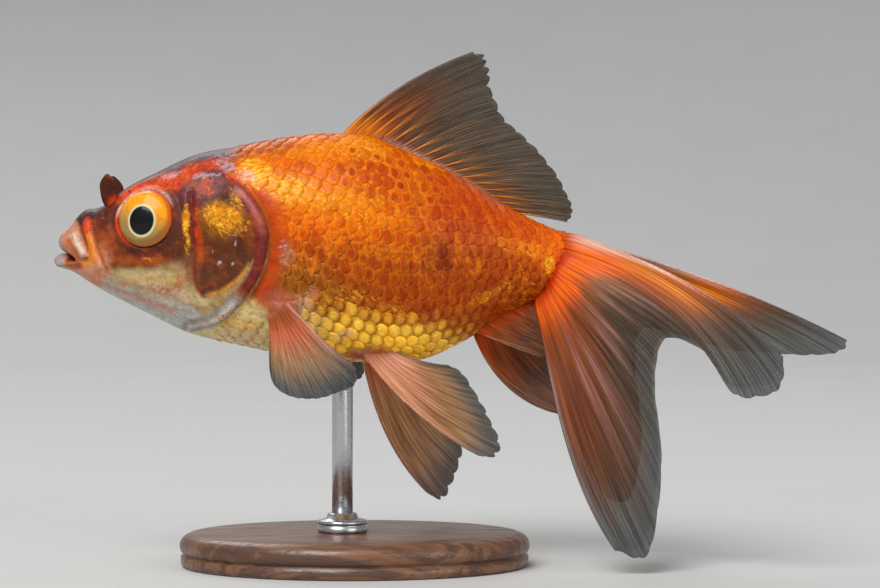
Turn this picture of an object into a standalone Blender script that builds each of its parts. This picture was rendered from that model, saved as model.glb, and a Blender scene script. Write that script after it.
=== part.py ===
"""A young fantail goldfish, life size, held still on a small display stand.

The fish swims towards -X with its left side facing -Y, and +Z is up.
The origin is the centre of the stand's underside. Sizes below are in
millimetres and are turned into metres where a mesh is made.
"""

import math

import bmesh
import bpy
import numpy as np
from mathutils import Vector

MM = 0.001
GAP = 0.3
LEFT, RIGHT = -1, 1

# ---------------------------------------------------------------- body sizes
# Side outline of the body, as (x, height) from the snout to the tail root.
BACK = (
    (-34.2, 40.6), (-33.2, 41.7), (-31.9, 42.7), (-29.9, 43.4), (-27.9, 44.9),
    (-23.2, 47.4), (-19.0, 49.3), (-14.5, 50.2), (-8.6, 51.3), (-2.6, 51.8),
    (2.0, 51.4), (6.7, 49.5), (13.4, 46.2), (18.0, 43.3), (21.1, 41.6), (24.4, 40.2),
)
BELLY = (
    (-34.2, 35.4), (-30.8, 33.2), (-25.0, 30.2), (-20.0, 27.8), (-13.9, 26.3),
    (-7.0, 25.0), (0.4, 24.3), (5.2, 24.2), (8.8, 24.8), (12.0, 26.2),
    (17.8, 29.6), (21.4, 31.2), (24.4, 31.9),
)
# Half the width, and the height at which the body is widest.
HALF_WIDTH = (
    (-34.2, 3.0), (-31.5, 4.1), (-28.0, 5.3), (-25.0, 6.1), (-20.0, 7.3),
    (-14.0, 8.5), (-7.0, 9.2), (0.0, 9.3), (6.0, 8.6), (12.0, 6.7), (18.0, 4.5), (24.4, 2.8),
)
WIDEST = (
    (-34.2, 36.8), (-30.0, 37.8), (-25.0, 38.8), (-15.0, 38.4), (0.0, 37.6), (15.0, 36.8), (24.4, 36.0),
)
FULLNESS = ((-34.2, 2.1), (-25.0, 2.35), (-10.0, 2.2), (5.0, 2.1), (24.4, 2.0))

SNOUT_X, TAIL_ROOT_X = -34.2, 24.4
TAIL_CAP = 2.6  # how far the rounded end of the stalk reaches past the tail root
HEAD_END_X, STALK_START_X = -8.4, 16.5
AROUND = 24  # corners of one ring of the body

# ---------------------------------------------------------------- mouth sizes
LIP_RADIUS = 0.85
LIP_FRONT_X = -34.15
LOWER_LIP_REACH = 0.4
MOUTH_HALF_WIDTH = 2.0
MOUTH_CORNER_SETBACK = 2.2
MOUTH_CORNER_Z, UPPER_LIP_RISE, LOWER_LIP_RISE = 36.4, 2.5, 0.1
MOUTH_DEPTH = 3.2
SETBACK_LENGTH = 2.8  # how quickly the corner's setback fades along the head

# ---------------------------------------------------------------- head pieces
EYE_X, EYE_Z = -24.4, 41.4
EYE_RADIUS, EYE_DEPTH = 3.6, 2.4
EYE_SUNK = 1.1  # how far the eye's centre lies below the skin
GILL_X, GILL_Z = -17.6, 37.4
GILL_HALF_LENGTH, GILL_HALF_HEIGHT = 7.9, 8.7
GILL_FRONT_X = -18.6
GILL_THICKNESS = 1.2
FLAP_X, FLAP_Y, FLAP_Z = -28.6, 2.1, 42.6
FLAP_HEIGHT, FLAP_HALF_WIDTH, FLAP_HALF_THICKNESS = 4.4, 1.0, 0.35

# ---------------------------------------------------------------- fins
FIN_THICKNESS = 0.6
ROOT_DEPTH = 0.7  # how deep a fin's root starts below the skin, before it is trimmed

# Tips of each fin's rays as (x, distance from the middle plane, height), leading ray first.
DORSAL_TIPS = (
    (15.1, 0.0, 61.9), (16.4, 0.2, 60.4), (16.7, 0.5, 57.8), (17.8, 0.7, 54.2), (20.4, 0.7, 51.5),
    (23.4, 0.5, 48.4), (25.5, 0.3, 45.0), (26.3, 0.1, 42.6), (25.7, 0.0, 41.0),
)
PECTORAL_TIPS = (
    (0.9, 13.2, 23.8), (0.5, 13.7, 21.9), (-1.2, 13.8, 21.2), (-3.3, 13.8, 20.5),
    (-5.4, 13.7, 20.4), (-7.4, 13.3, 20.9), (-8.9, 12.7, 22.1), (-9.4, 11.9, 24.0),
)
PELVIC_LEFT_TIPS = (
    (15.6, 9.7, 13.3), (17.2, 9.9, 13.5), (17.7, 9.9, 15.2), (16.6, 9.7, 17.4),
    (15.6, 9.5, 19.3), (14.2, 9.0, 21.6), (12.9, 8.5, 23.4), (11.4, 8.0, 24.2),
)
PELVIC_RIGHT_TIPS = (
    (9.4, 8.5, 7.2), (10.8, 8.8, 6.7), (11.9, 9.0, 8.2), (12.7, 9.0, 10.4),
    (13.2, 8.7, 13.0), (12.6, 8.2, 16.0), (11.4, 7.6, 19.0), (10.0, 6.8, 21.4),
)
ANAL_LEFT_TIPS = ((22.9, 2.2, 24.7), (23.6, 2.2, 26.2), (23.4, 2.1, 27.9), (22.6, 1.9, 29.4))
ANAL_RIGHT_TIPS = ((25.4, 3.0, 17.8), (27.0, 3.1, 19.4), (26.4, 2.9, 22.6), (23.6, 2.1, 28.2))

# Each ray of a tail half: x, distance from the middle plane and height of its four control points.
TAIL_LEFT = (
    ((25.3, 0.9, 38.7), (33.4, 4.6, 37.4), (44.6, 12.0, 31.7), (50.2, 12.6, 24.5)),
    ((24.9, 1.3, 38.1), (33.4, 4.8, 36.6), (43.4, 12.2, 31.2), (48.6, 14.2, 21.0)),
    ((24.5, 1.6, 37.4), (32.4, 5.0, 35.4), (40.0, 11.2, 30.4), (43.8, 14.9, 20.9)),
    ((24.2, 1.8, 36.7), (30.8, 5.0, 34.2), (36.6, 9.6, 31.0), (40.8, 13.2, 25.6)),
    ((23.9, 2.0, 36.0), (28.6, 4.8, 33.4), (33.2, 7.6, 30.6), (37.0, 10.0, 27.8)),
    ((23.6, 2.1, 35.2), (28.0, 5.0, 31.2), (32.2, 7.6, 27.2), (35.2, 9.0, 22.0)),
    ((23.2, 2.1, 34.1), (26.6, 5.2, 28.6), (32.4, 8.6, 21.6), (36.0, 9.4, 13.0)),
    ((22.7, 2.0, 32.9), (24.8, 5.4, 26.0), (29.6, 9.6, 13.6), (34.4, 10.3, 3.6)),
    ((22.2, 1.8, 31.6), (22.9, 5.4, 24.0), (24.2, 10.4, 10.9), (30.8, 10.6, 3.0)),
)
TAIL_RIGHT = (
    ((25.3, 0.9, 38.7), (36.2, 4.0, 36.8), (51.1, 8.4, 31.9), (60.8, 9.0, 26.5)),
    ((24.9, 1.3, 38.1), (35.4, 4.4, 36.2), (49.0, 9.2, 31.0), (59.0, 10.6, 24.9)),
    ((24.5, 1.6, 37.4), (33.8, 4.8, 35.2), (45.4, 9.6, 30.0), (53.8, 11.6, 24.9)),
    ((24.2, 1.8, 36.7), (31.4, 4.9, 33.9), (39.8, 8.8, 30.4), (45.8, 11.0, 25.6)),
    ((23.9, 2.0, 36.0), (28.4, 4.8, 33.2), (32.2, 7.2, 30.8), (35.6, 8.8, 28.2)),
    ((23.6, 2.1, 35.2), (27.6, 4.8, 31.2), (31.2, 7.0, 27.2), (34.4, 8.6, 23.0)),
    ((23.2, 2.1, 34.1), (26.6, 4.8, 28.8), (31.6, 7.8, 22.0), (35.2, 9.0, 14.8)),
    ((22.7, 2.0, 32.9), (25.4, 4.8, 26.8), (29.8, 8.2, 16.4), (34.0, 9.6, 7.4)),
    ((22.2, 1.8, 31.6), (23.8, 4.8, 24.6), (26.4, 8.4, 13.8), (31.4, 9.8, 6.4)),
)
FORK_SHARE = 0.5
FORK_CUT = 0.012  # half the share of the tail's rays lost to the cut between its lobes

# ---------------------------------------------------------------- stand
BASE_HALF_LENGTH, BASE_HALF_WIDTH, BASE_HEIGHT = 21.0, 17.0, 4.0
BASE_BEVEL = 0.8
ROD_X, ROD_RADIUS = -1.5, 1.25
ROD_DEPTH_IN_BELLY = 2.6
COLLAR_RADIUS, COLLAR_HEIGHT = 3.0, 2.0


# ================================================================ small tools
def smooth(table, x):
    """The value at x on a smooth curve through the (position, value) pairs of a table."""
    at, value = np.array(table, float).T
    slope = np.gradient(value, at)
    i = int(np.clip(np.searchsorted(at, x) - 1, 0, len(at) - 2))
    step = at[i + 1] - at[i]
    t = float(np.clip((x - at[i]) / step, 0.0, 1.0))
    start = value[i] * (1 + 2 * t) * (1 - t) ** 2 + slope[i] * step * t * (1 - t) ** 2
    return start + value[i + 1] * t * t * (3 - 2 * t) + slope[i + 1] * step * t * t * (t - 1)


def signed_power(value, power):
    return math.copysign(abs(value) ** power, value)


def material(name, colour, roughness=0.4, metallic=0.0):
    made = bpy.data.materials.new(name)
    made.use_nodes = True
    shader = made.node_tree.nodes["Principled BSDF"]
    shader.inputs["Base Color"].default_value = (*colour, 1.0)
    shader.inputs["Roughness"].default_value = roughness
    shader.inputs["Metallic"].default_value = metallic
    return made


def to_object(name, bm, collection, look=None):
    """Scales a mesh from millimetres to metres and puts it in the scene."""
    bmesh.ops.scale(bm, vec=(MM, MM, MM), verts=bm.verts)
    bmesh.ops.recalc_face_normals(bm, faces=bm.faces)
    mesh = bpy.data.meshes.new(name)
    bm.to_mesh(mesh)
    bm.free()
    made = bpy.data.objects.new(name, mesh)
    collection.objects.link(made)
    if look:
        mesh.materials.append(look)
    else:
        made.hide_render = True
        made.display_type = "WIRE"
    return made


def loft(rings, closed_ring=True, poles=(None, None)):
    """A mesh skinned over rings of equal length, with a point at either end where one is given."""
    bm = bmesh.new()
    rows = [[bm.verts.new(point) for point in ring] for ring in rings]
    for one, two in zip(rows, rows[1:]):
        last = len(one) if closed_ring else len(one) - 1
        for i in range(last):
            j = (i + 1) % len(one)
            bm.faces.new((one[i], one[j], two[j], two[i]))
    for pole, row in zip(poles, (rows[0], rows[-1])):
        if pole is not None:
            tip = bm.verts.new(pole)
            for i in range(len(row)):
                bm.faces.new((tip, row[i], row[(i + 1) % len(row)]))
    return bm


def block(name, low, high, collection):
    """A box between two corners, for cutting."""
    bm = bmesh.new()
    bmesh.ops.create_cube(bm, size=1.0)
    low, high = Vector(low), Vector(high)
    bmesh.ops.scale(bm, vec=high - low, verts=bm.verts)
    bmesh.ops.translate(bm, vec=(low + high) / 2, verts=bm.verts)
    return to_object(name, bm, collection)


def plate(name, outline, low_y, high_y, collection):
    """An outline in the XZ plane made solid between two values of y, for cutting."""
    bm = bmesh.new()
    face = bm.faces.new([bm.verts.new((x, low_y, z)) for x, z in outline])
    grown = bmesh.ops.extrude_face_region(bm, geom=[face])["geom"]
    moved = [v for v in grown if isinstance(v, bmesh.types.BMVert)]
    bmesh.ops.translate(bm, vec=(0, high_y - low_y, 0), verts=moved)
    return to_object(name, bm, collection)


def boolean(target, other, operation="DIFFERENCE"):
    modifier = target.modifiers.new(f"{operation.lower()}_{other.name}", "BOOLEAN")
    modifier.operation = operation
    modifier.object = other
    modifier.solver = "EXACT"


# ================================================================ body surface
def body_point(x, angle, swell=0.0):
    """The skin at station x and angle, which runs from 0 on the back over 90 degrees on the right side."""
    middle = smooth(WIDEST, x)
    rise = smooth(BACK, x) - middle + swell
    drop = middle - smooth(BELLY, x) + swell
    width = smooth(HALF_WIDTH, x) + swell
    power = 2.0 / smooth(FULLNESS, x)
    up, side = math.cos(angle), math.sin(angle)
    setback = MOUTH_CORNER_SETBACK * math.exp((SNOUT_X - x) / SETBACK_LENGTH) * side * side
    height = signed_power(up, power) * (rise if up > 0 else drop)
    return Vector((x + setback, width * signed_power(side, power), middle + height))


def skin_frame(x, z, side):
    """The skin point at station x and height z on one side, and the direction straight out of it."""
    low, high = 0.0, math.pi
    for _ in range(40):
        middle = (low + high) / 2
        if body_point(x, middle).z > z:
            low = middle
        else:
            high = middle
    point = body_point(x, side * low)
    along = body_point(x + 0.1, side * low) - body_point(x - 0.1, side * low)
    around = body_point(x, side * (low + 0.02)) - body_point(x, side * (low - 0.02))
    outwards = along.cross(around).normalized()
    return point, outwards if outwards.y * side > 0 else -outwards


def lip_point(angle, turn, swell=0.0):
    """The lips as a bent roll: turn is 0 on its outer side, 90 degrees at its front, 180 inside the mouth."""
    up, side = math.cos(angle), math.sin(angle)
    rise = UPPER_LIP_RISE * up if up > 0 else -LOWER_LIP_RISE * up
    lower = max(-up, 0.0)
    centre = Vector((
        LIP_FRONT_X + MOUTH_CORNER_SETBACK * abs(side) ** 2.5 - LOWER_LIP_REACH * lower,
        MOUTH_HALF_WIDTH * side,
        MOUTH_CORNER_Z + rise,
    ))
    outwards = Vector((0, side, up))
    radius = LIP_RADIUS + swell
    return centre + outwards * radius * math.cos(turn) - Vector((radius, 0, 0)) * math.sin(turn)


def mouth_point(angle, share):
    """The inside of the mouth, from the inner edge of the lips at share 0 to its end at 1."""
    edge = lip_point(angle, math.pi)
    end = Vector((LIP_FRONT_X + MOUTH_DEPTH, 0, MOUTH_CORNER_Z + 0.8))
    return edge.lerp(end, share)


def tail_cap_point(angle, turn, swell=0.0):
    """The rounded end of the stalk, at turn 0 to 90 degrees past the tail root."""
    edge = body_point(TAIL_ROOT_X, angle, swell)
    narrowed = math.cos(turn)
    middle_z = smooth(WIDEST, TAIL_ROOT_X)
    z = middle_z + (edge.z - middle_z) * (0.55 + 0.45 * narrowed)
    return Vector((edge.x + (TAIL_CAP + swell) * math.sin(turn), edge.y * narrowed, z))


def body_mesh(swell=0.0):
    """The whole body as one closed skin, from the back of the mouth to the end of the stalk."""
    angles = [2 * math.pi * i / AROUND for i in range(AROUND)]
    rings = [[mouth_point(a, share) for a in angles] for share in (0.6, 0.25)]
    for turn in (180, 135, 90, 45, 0):
        rings.append([lip_point(a, math.radians(turn), swell) for a in angles])
    stations = np.concatenate([
        np.linspace(SNOUT_X, -27.0, 7)[1:],
        np.linspace(-27.0, TAIL_ROOT_X, 21)[1:],
    ])
    rings += [[body_point(x, a, swell) for a in angles] for x in stations]
    for turn in (30, 55, 75):
        rings.append([tail_cap_point(a, math.radians(turn), swell) for a in angles])
    ends = (mouth_point(0, 1), (TAIL_ROOT_X + TAIL_CAP + swell, 0, smooth(WIDEST, TAIL_ROOT_X)))
    return loft(rings, poles=ends)


def jaw_outline(grow):
    """Side outline of the space that the lower jaw takes, larger all round by grow."""
    return (
        (-38.0, 39.2 + grow), (-31.9 + grow, 36.2 + grow), (-28.2 + grow, 31.4),
        (-28.2 + grow, 27.8), (-38.0, 27.8),
    )


def gill_outline(grow):
    """Side outline of a gill cover: an ellipse cut off straight in front."""
    start = math.acos((GILL_FRONT_X - GILL_X) / GILL_HALF_LENGTH)
    turns = np.linspace(-start, start, 15)
    return [
        (
            GILL_X + (GILL_HALF_LENGTH + grow) * math.cos(t) - (grow if abs(t) == start else 0),
            GILL_Z + (GILL_HALF_HEIGHT + grow) * math.sin(t),
        )
        for t in turns
    ]


# ================================================================ body pieces
def make_body(parts, cutters, skin, pale, gill_look):
    far = 30.0
    head = to_object("head", body_mesh(), parts, skin)
    jaw = to_object("lower_jaw", body_mesh(), parts, pale)
    trunk = to_object("trunk", body_mesh(), parts, skin)
    stalk = to_object("tail_stalk", body_mesh(), parts, skin)
    half = GAP / 2
    regions = {
        head: ("head_region", (-40, HEAD_END_X - half)),
        trunk: ("trunk_region", (HEAD_END_X + half, STALK_START_X - half)),
        stalk: ("stalk_region", (STALK_START_X + half, 40)),
    }
    for piece, (name, (start, end)) in regions.items():
        boolean(piece, block(name, (start, -far, 0), (end, far, 70), cutters), "INTERSECT")
    boolean(jaw, plate("jaw_region", jaw_outline(0), -far, far, cutters), "INTERSECT")
    boolean(head, plate("jaw_space", jaw_outline(GAP), -far, far, cutters))
    core = to_object("gill_core", body_mesh(-GILL_THICKNESS), cutters)
    deep_core = to_object("gill_deep_core", body_mesh(-GILL_THICKNESS - GAP), cutters)
    for side, word in ((LEFT, "left"), (RIGHT, "right")):
        low, high = sorted((0.5 * side, far * side))
        cover = to_object(f"gill_cover_{word}", body_mesh(), parts, gill_look)
        boolean(cover, plate(f"gill_region_{word}", gill_outline(0), low, high, cutters), "INTERSECT")
        boolean(cover, core)
        space = plate(f"gill_space_{word}", gill_outline(GAP), low, high, cutters)
        boolean(space, deep_core)
        boolean(head, space)
    return head, trunk


def make_eyes(parts, cutters, head, look):
    """Flattened balls that face straight out of the head, each in a socket of its own."""
    for side, word in ((LEFT, "left"), (RIGHT, "right")):
        point, outwards = skin_frame(EYE_X, EYE_Z, side)
        facing = outwards.to_track_quat("Z", "X").to_matrix()
        for name, grow in ((f"eye_{word}", 0.0), (f"eye_socket_{word}", GAP)):
            bm = bmesh.new()
            bmesh.ops.create_uvsphere(bm, u_segments=18, v_segments=10, radius=1.0)
            size = (EYE_RADIUS + grow, EYE_RADIUS + grow, EYE_DEPTH + grow)
            bmesh.ops.scale(bm, vec=size, verts=bm.verts)
            bmesh.ops.rotate(bm, matrix=facing, verts=bm.verts)
            bmesh.ops.translate(bm, vec=point - outwards * EYE_SUNK, verts=bm.verts)
            if grow:
                boolean(head, to_object(name, bm, cutters))
            else:
                to_object(name, bm, parts, look)


def make_nose_flaps(parts, trimmer, look):
    """The two leaf-shaped lobes that stand over the nostrils."""
    levels = 7
    for side, word in ((LEFT, "left"), (RIGHT, "right")):
        rings = []
        for i in range(levels):
            t = i / levels
            full = 0.55 + 0.45 * math.sin(math.pi * min(1.0, 0.15 + t))
            full *= math.sqrt(1 - t**4)
            lean = 0.3 * t * t
            ring = []
            for k in range(10):
                a = 2 * math.pi * k / 10
                ring.append((
                    FLAP_X - lean + FLAP_HALF_WIDTH * full * math.cos(a),
                    side * (FLAP_Y + 0.5 * t) + FLAP_HALF_THICKNESS * math.sin(a),
                    FLAP_Z + FLAP_HEIGHT * t,
                ))
            rings.append(ring)
        foot = (FLAP_X, side * FLAP_Y, FLAP_Z - 0.2)
        tip = (FLAP_X - 0.3, side * (FLAP_Y + 0.5), FLAP_Z + FLAP_HEIGHT)
        flap = to_object(f"nose_flap_{word}", loft(rings, poles=(foot, tip)), parts, look)
        boolean(flap, trimmer)


# ================================================================ fins
def bezier(points, t):
    a, b, c, d = (Vector(p) for p in points)
    s = 1 - t
    return a * s**3 + b * 3 * s * s * t + c * 3 * s * t * t + d * t**3


def ray_at(rays, share):
    """Four control points of the fin ray at this share of the way across the fin's named rays."""
    at = np.linspace(0, 1, len(rays))
    table = np.array([[c for p in ray for c in p] for ray in rays], float)
    numbers = [smooth(tuple(zip(at, column)), share) for column in table.T]
    return [numbers[i:i + 3] for i in range(0, 12, 3)]


def fin(name, rays, across, along, parts, trimmer, look, span=(0.0, 1.0)):
    """A sheet bent along a fan of rays and given its thickness; its root is trimmed to the skin."""
    bm = bmesh.new()
    bmesh.ops.create_grid(bm, x_segments=across, y_segments=along, size=0.5)
    start, end = span
    for corner in bm.verts:
        share = start + (end - start) * (corner.co.x + 0.5)
        corner.co = bezier(ray_at(rays, share), corner.co.y + 0.5)
    made = to_object(name, bm, parts, look)
    thickness = made.modifiers.new("thickness", "SOLIDIFY")
    thickness.thickness = FIN_THICKNESS * MM
    thickness.offset = 0.0
    boolean(made, trimmer)


def fan(first_root, last_root, tips, side, lean=0.0, lift=0.0, bow=(0.0, 0.0)):
    """Rays from evenly spaced roots to named tips. A root is (x, degrees around the body).

    lean sets how far each ray first runs straight out of the skin, lift raises its middle,
    and bow shifts the middle of the leading ray by (x, z), fading to nothing at the last.
    """
    rays = []
    for i, tip in enumerate(tips):
        share = i / (len(tips) - 1)
        x, degrees = (a + (b - a) * share for a, b in zip(first_root, last_root))
        angle = side * math.radians(degrees)
        root = body_point(x, angle, -ROOT_DEPTH)
        tip = Vector((tip[0], side * tip[1], tip[2]))
        run = tip - root
        out = (body_point(x, angle, 1.0) - body_point(x, angle)) * lean * run.length
        shift = Vector((bow[0], 0, bow[1])) * (1 - share) ** 2
        start = root + run * 0.33 + out + shift
        later = root + run * 0.67 + out + shift + Vector((0, 0, lift * run.length))
        rays.append((root, start, later, tip))
    return rays


def make_fins(parts, trimmer, look):
    dorsal = fan((-2.0, 0), (18.6, 0), DORSAL_TIPS, RIGHT, lift=0.03, bow=(-2.6, 0.2))
    fin("dorsal_fin", dorsal, 16, 6, parts, trimmer, look)
    for side, word, pelvic, pelvic_bow, anal, anal_bow, tail in (
        (LEFT, "left", PELVIC_LEFT_TIPS, (0, -0.9), ANAL_LEFT_TIPS, (0, 0), TAIL_LEFT),
        (RIGHT, "right", PELVIC_RIGHT_TIPS, (-1.6, -1.0), ANAL_RIGHT_TIPS, (-1.6, -2.2), TAIL_RIGHT),
    ):
        rays = fan((-8.2, 117), (-9.8, 129), PECTORAL_TIPS, side, lean=0.1, lift=0.02)
        fin(f"pectoral_fin_{word}", rays, 10, 5, parts, trimmer, look)
        rays = fan((0.6, 156), (4.6, 156), pelvic, side, lean=0.08, lift=0.02, bow=pelvic_bow)
        fin(f"pelvic_fin_{word}", rays, 10, 5, parts, trimmer, look)
        rays = fan((14.0, 168), (20.6, 165), anal, side, lean=0.02, bow=anal_bow)
        fin(f"anal_fin_{word}", rays, 7, 5, parts, trimmer, look)
        rays = [[(x, side * y, z) for x, y, z in ray] for ray in tail]
        for lobe, span in (("upper", (0, FORK_SHARE - FORK_CUT)), ("lower", (FORK_SHARE + FORK_CUT, 1))):
            fin(f"tail_{lobe}_{word}", rays, 8, 7, parts, trimmer, look, span)


# ================================================================ stand
def cylinder(name, radius, low, high, x, collection, look=None, corners=24):
    bm = bmesh.new()
    bmesh.ops.create_cone(
        bm, cap_ends=True, segments=corners, radius1=radius, radius2=radius, depth=high - low
    )
    bmesh.ops.translate(bm, vec=(x, 0, (low + high) / 2), verts=bm.verts)
    return to_object(name, bm, collection, look)


def make_stand(parts, cutters, trunk, wood, steel):
    base = cylinder("stand_base", 1.0, 0, BASE_HEIGHT, 0, parts, wood, corners=40)
    base.scale = (BASE_HALF_LENGTH, BASE_HALF_WIDTH, 1)
    base.data.transform(base.matrix_basis)
    base.scale = (1, 1, 1)
    edge = base.modifiers.new("edge", "BEVEL")
    edge.width = BASE_BEVEL * MM
    edge.segments = 2
    edge.limit_method = "ANGLE"
    belly = smooth(BELLY, ROD_X)
    top = belly + ROD_DEPTH_IN_BELLY
    cylinder("stand_rod", ROD_RADIUS, BASE_HEIGHT + GAP, top, ROD_X, parts, steel)
    boolean(trunk, cylinder("rod_socket", ROD_RADIUS + GAP, 0, top + GAP, ROD_X, cutters))
    low = BASE_HEIGHT + GAP
    collar = cylinder("stand_collar", COLLAR_RADIUS, low, low + COLLAR_HEIGHT, ROD_X, parts, steel)
    boolean(collar, cylinder("collar_hole", ROD_RADIUS + GAP, 0, 20, ROD_X, cutters))


# ================================================================ whole model
def main():
    for thing in list(bpy.data.objects):
        bpy.data.objects.remove(thing)
    parts = bpy.data.collections.new("fantail_goldfish")
    cutters = bpy.data.collections.new("cutters")
    for collection in (parts, cutters):
        bpy.context.scene.collection.children.link(collection)
    skin = material("goldfish_skin", (0.85, 0.33, 0.03), 0.35)
    pale = material("goldfish_throat", (0.78, 0.66, 0.52), 0.4)
    gill = material("goldfish_gill_cover", (0.52, 0.22, 0.06), 0.3)
    fins = material("goldfish_fin", (0.62, 0.33, 0.17), 0.45)
    eye = material("goldfish_eye", (0.8, 0.55, 0.1), 0.1)
    wood = material("stand_walnut", (0.12, 0.06, 0.035), 0.4)
    steel = material("stand_steel", (0.6, 0.6, 0.62), 0.25, 1.0)

    trimmer = to_object("skin_trimmer", body_mesh(GAP), cutters)
    head, trunk = make_body(parts, cutters, skin, pale, gill)
    make_eyes(parts, cutters, head, eye)
    make_nose_flaps(parts, trimmer, skin)
    make_fins(parts, trimmer, fins)
    make_stand(parts, cutters, trunk, wood, steel)
    cutters.hide_render = True


main()
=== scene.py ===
# %% [markdown]
# # A young fantail goldfish on a display stand
# This script dresses a small fish, about as long as a finger, that swims to the left with its double
# tail spread. The frame holds the plain solids at their true size and place. Everything here is
# built around them: one skin over the whole body, a coat of scales, bony rays in the fins, two
# eyes, and a finer stand. The frame is loaded first, because every piece belongs to it.

# %% Load the frame
import itertools
import math

import bmesh
import bpy
import numpy as np
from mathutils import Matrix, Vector


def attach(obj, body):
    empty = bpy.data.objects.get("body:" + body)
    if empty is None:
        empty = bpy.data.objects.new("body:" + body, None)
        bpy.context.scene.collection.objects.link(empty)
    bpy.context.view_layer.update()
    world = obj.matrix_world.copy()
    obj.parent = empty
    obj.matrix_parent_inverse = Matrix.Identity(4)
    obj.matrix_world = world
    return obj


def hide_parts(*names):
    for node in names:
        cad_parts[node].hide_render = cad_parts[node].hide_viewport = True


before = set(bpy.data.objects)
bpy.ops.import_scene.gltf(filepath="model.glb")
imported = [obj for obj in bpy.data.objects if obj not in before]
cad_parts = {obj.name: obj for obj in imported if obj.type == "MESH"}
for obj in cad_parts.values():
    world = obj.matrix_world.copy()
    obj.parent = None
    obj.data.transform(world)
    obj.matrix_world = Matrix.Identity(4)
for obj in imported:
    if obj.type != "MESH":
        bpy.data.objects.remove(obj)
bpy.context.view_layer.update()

MM = 0.001
print("the frame holds", len(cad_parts), "solids")

# %% [markdown]
# # The camera
# The fish is looked at from its left side and from level with its middle. A long lens from about
# 29 cm away keeps the near fins from looking too large. The camera comes first, so that each piece
# can be judged in the picture as soon as it is made.

# %% Place the camera
VIEW_X, VIEW_HEIGHT = 10.2, 32.5
VIEW_DISTANCE = 293.0
LENS, SENSOR = 100.0, 36.0

lens = bpy.data.cameras.new("view")
lens.lens = LENS
lens.sensor_width = SENSOR
lens.clip_start = 10 * MM
camera = bpy.data.objects.new("view", lens)
camera.location = (VIEW_X * MM, -VIEW_DISTANCE * MM, VIEW_HEIGHT * MM)
camera.rotation_euler = (math.radians(90), 0, 0)
bpy.context.scene.collection.objects.link(camera)
bpy.context.scene.camera = camera
print("the camera stands", VIEW_DISTANCE, "mm from the fish")

# %% [markdown]
# # Ways to work with points
# A mesh can be shaped as clay is: an operator makes a plain ball or a sheet, and then all its
# points are moved at once by a rule. Numpy does this for thousands of points in one step. The
# helpers below read and write the points of a mesh, and draw smooth curves through a few values.
# All sizes are in millimetres until a mesh is finished, and Blender gets metres.

# %% Curves and soft steps
def through(places, values):
    """A smooth curve through values that stand at rising places, as a function of the place."""
    at, value = np.array(places, float), np.array(values, float)
    slope = np.gradient(value, at, axis=0)

    def read(x):
        x = np.clip(np.asarray(x, float), at[0], at[-1])
        i = np.clip(np.searchsorted(at, x, side="right") - 1, 0, len(at) - 2)
        step, t = at[i + 1] - at[i], (x - at[i]) / (at[i + 1] - at[i])
        while step.ndim < value[i].ndim:
            step, t = step[..., None], t[..., None]
        near = value[i] * (1 + 2 * t) + slope[i] * step * t
        far = value[i + 1] * (3 - 2 * t) - slope[i + 1] * step * (1 - t)
        return near * (1 - t) ** 2 + far * t * t

    return read


def curve(*pairs):
    return through(*zip(*pairs))


def ease(start, end, value):
    """Rises softly from 0 at start to 1 at end; start may be the larger one."""
    t = np.clip((value - start) / (end - start), 0, 1)
    return t * t * (3 - 2 * t)


def between(value, start, full, fading, gone):
    """Rises softly from 0 at start to 1 at full, and falls back to 0 from fading to gone."""
    return ease(start, full, value) * (1 - ease(fading, gone, value))


def bump(distance, width):
    """A soft hill, 1 at distance 0 and nearly gone at two widths."""
    return np.exp(-((distance / width) ** 2))


def unit(vectors):
    return vectors / np.maximum(np.linalg.norm(vectors, axis=-1, keepdims=True), 1e-9)


print("a quarter of the way, a soft step has reached", round(float(ease(0, 1, 0.25)), 3))


# %% [markdown]
# # Noise that is the same every time
# Living things are never quite even. This noise gives each corner of a grid in space its own
# number, worked out from the corner's place, and blends between the corners. It needs no random
# seed, so the fish comes out the same on every run.

# %% Noise in space
def corner_number(corners, seed):
    mixed = corners[..., 0] * 73856093 ^ corners[..., 1] * 19349663 ^ corners[..., 2] * 83492791
    mixed = (mixed ^ seed * 15485863 ^ mixed >> 13) * 1274126177
    return (mixed >> 16 & 0xFFFF) / 0xFFFF


def cloud(points, size, seed=0, layers=2):
    """Soft noise from about -1 to 1 in lumps of one size, with finer lumps in each next layer."""
    total, strength = 0.0, 1.0
    for layer in range(layers):
        place = np.asarray(points) / size * 2**layer
        base = np.floor(place).astype(np.int64)
        part = place - base
        part = part * part * (3 - 2 * part)
        for corner in itertools.product((0, 1), repeat=3):
            share = np.prod(np.where(corner, part, 1 - part), axis=-1)
            total = total + share * (corner_number(base + corner, seed + layer) * 2 - 1) * strength
        strength /= 2
    return total / (2 - 2 ** (1 - layers))


print("the noise at one place:", cloud(np.array([[1.5, 2.5, 3.5]]), 1.0).round(3)[0])


# %% Meshes as arrays of points
def points_of(mesh):
    flat = np.empty(len(mesh.vertices) * 3)
    mesh.vertices.foreach_get("co", flat)
    return flat.reshape(-1, 3)


def move_points(mesh, points):
    mesh.vertices.foreach_set("co", np.ascontiguousarray(points, np.float32).ravel())
    mesh.update()


def store(mesh, name, values):
    """Keeps a number, a direction or a colour for every point, for the material to read."""
    values = np.asarray(values, np.float32)
    kind = {1: "FLOAT", 2: "FLOAT_VECTOR"}[values.ndim]
    layer = mesh.attributes.new(name, kind, "POINT")
    layer.data.foreach_set("value" if values.ndim == 1 else "vector", values.ravel())


def mesh_from(bm, name):
    mesh = bpy.data.meshes.new(name)
    bm.to_mesh(mesh)
    bm.free()
    return mesh


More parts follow.
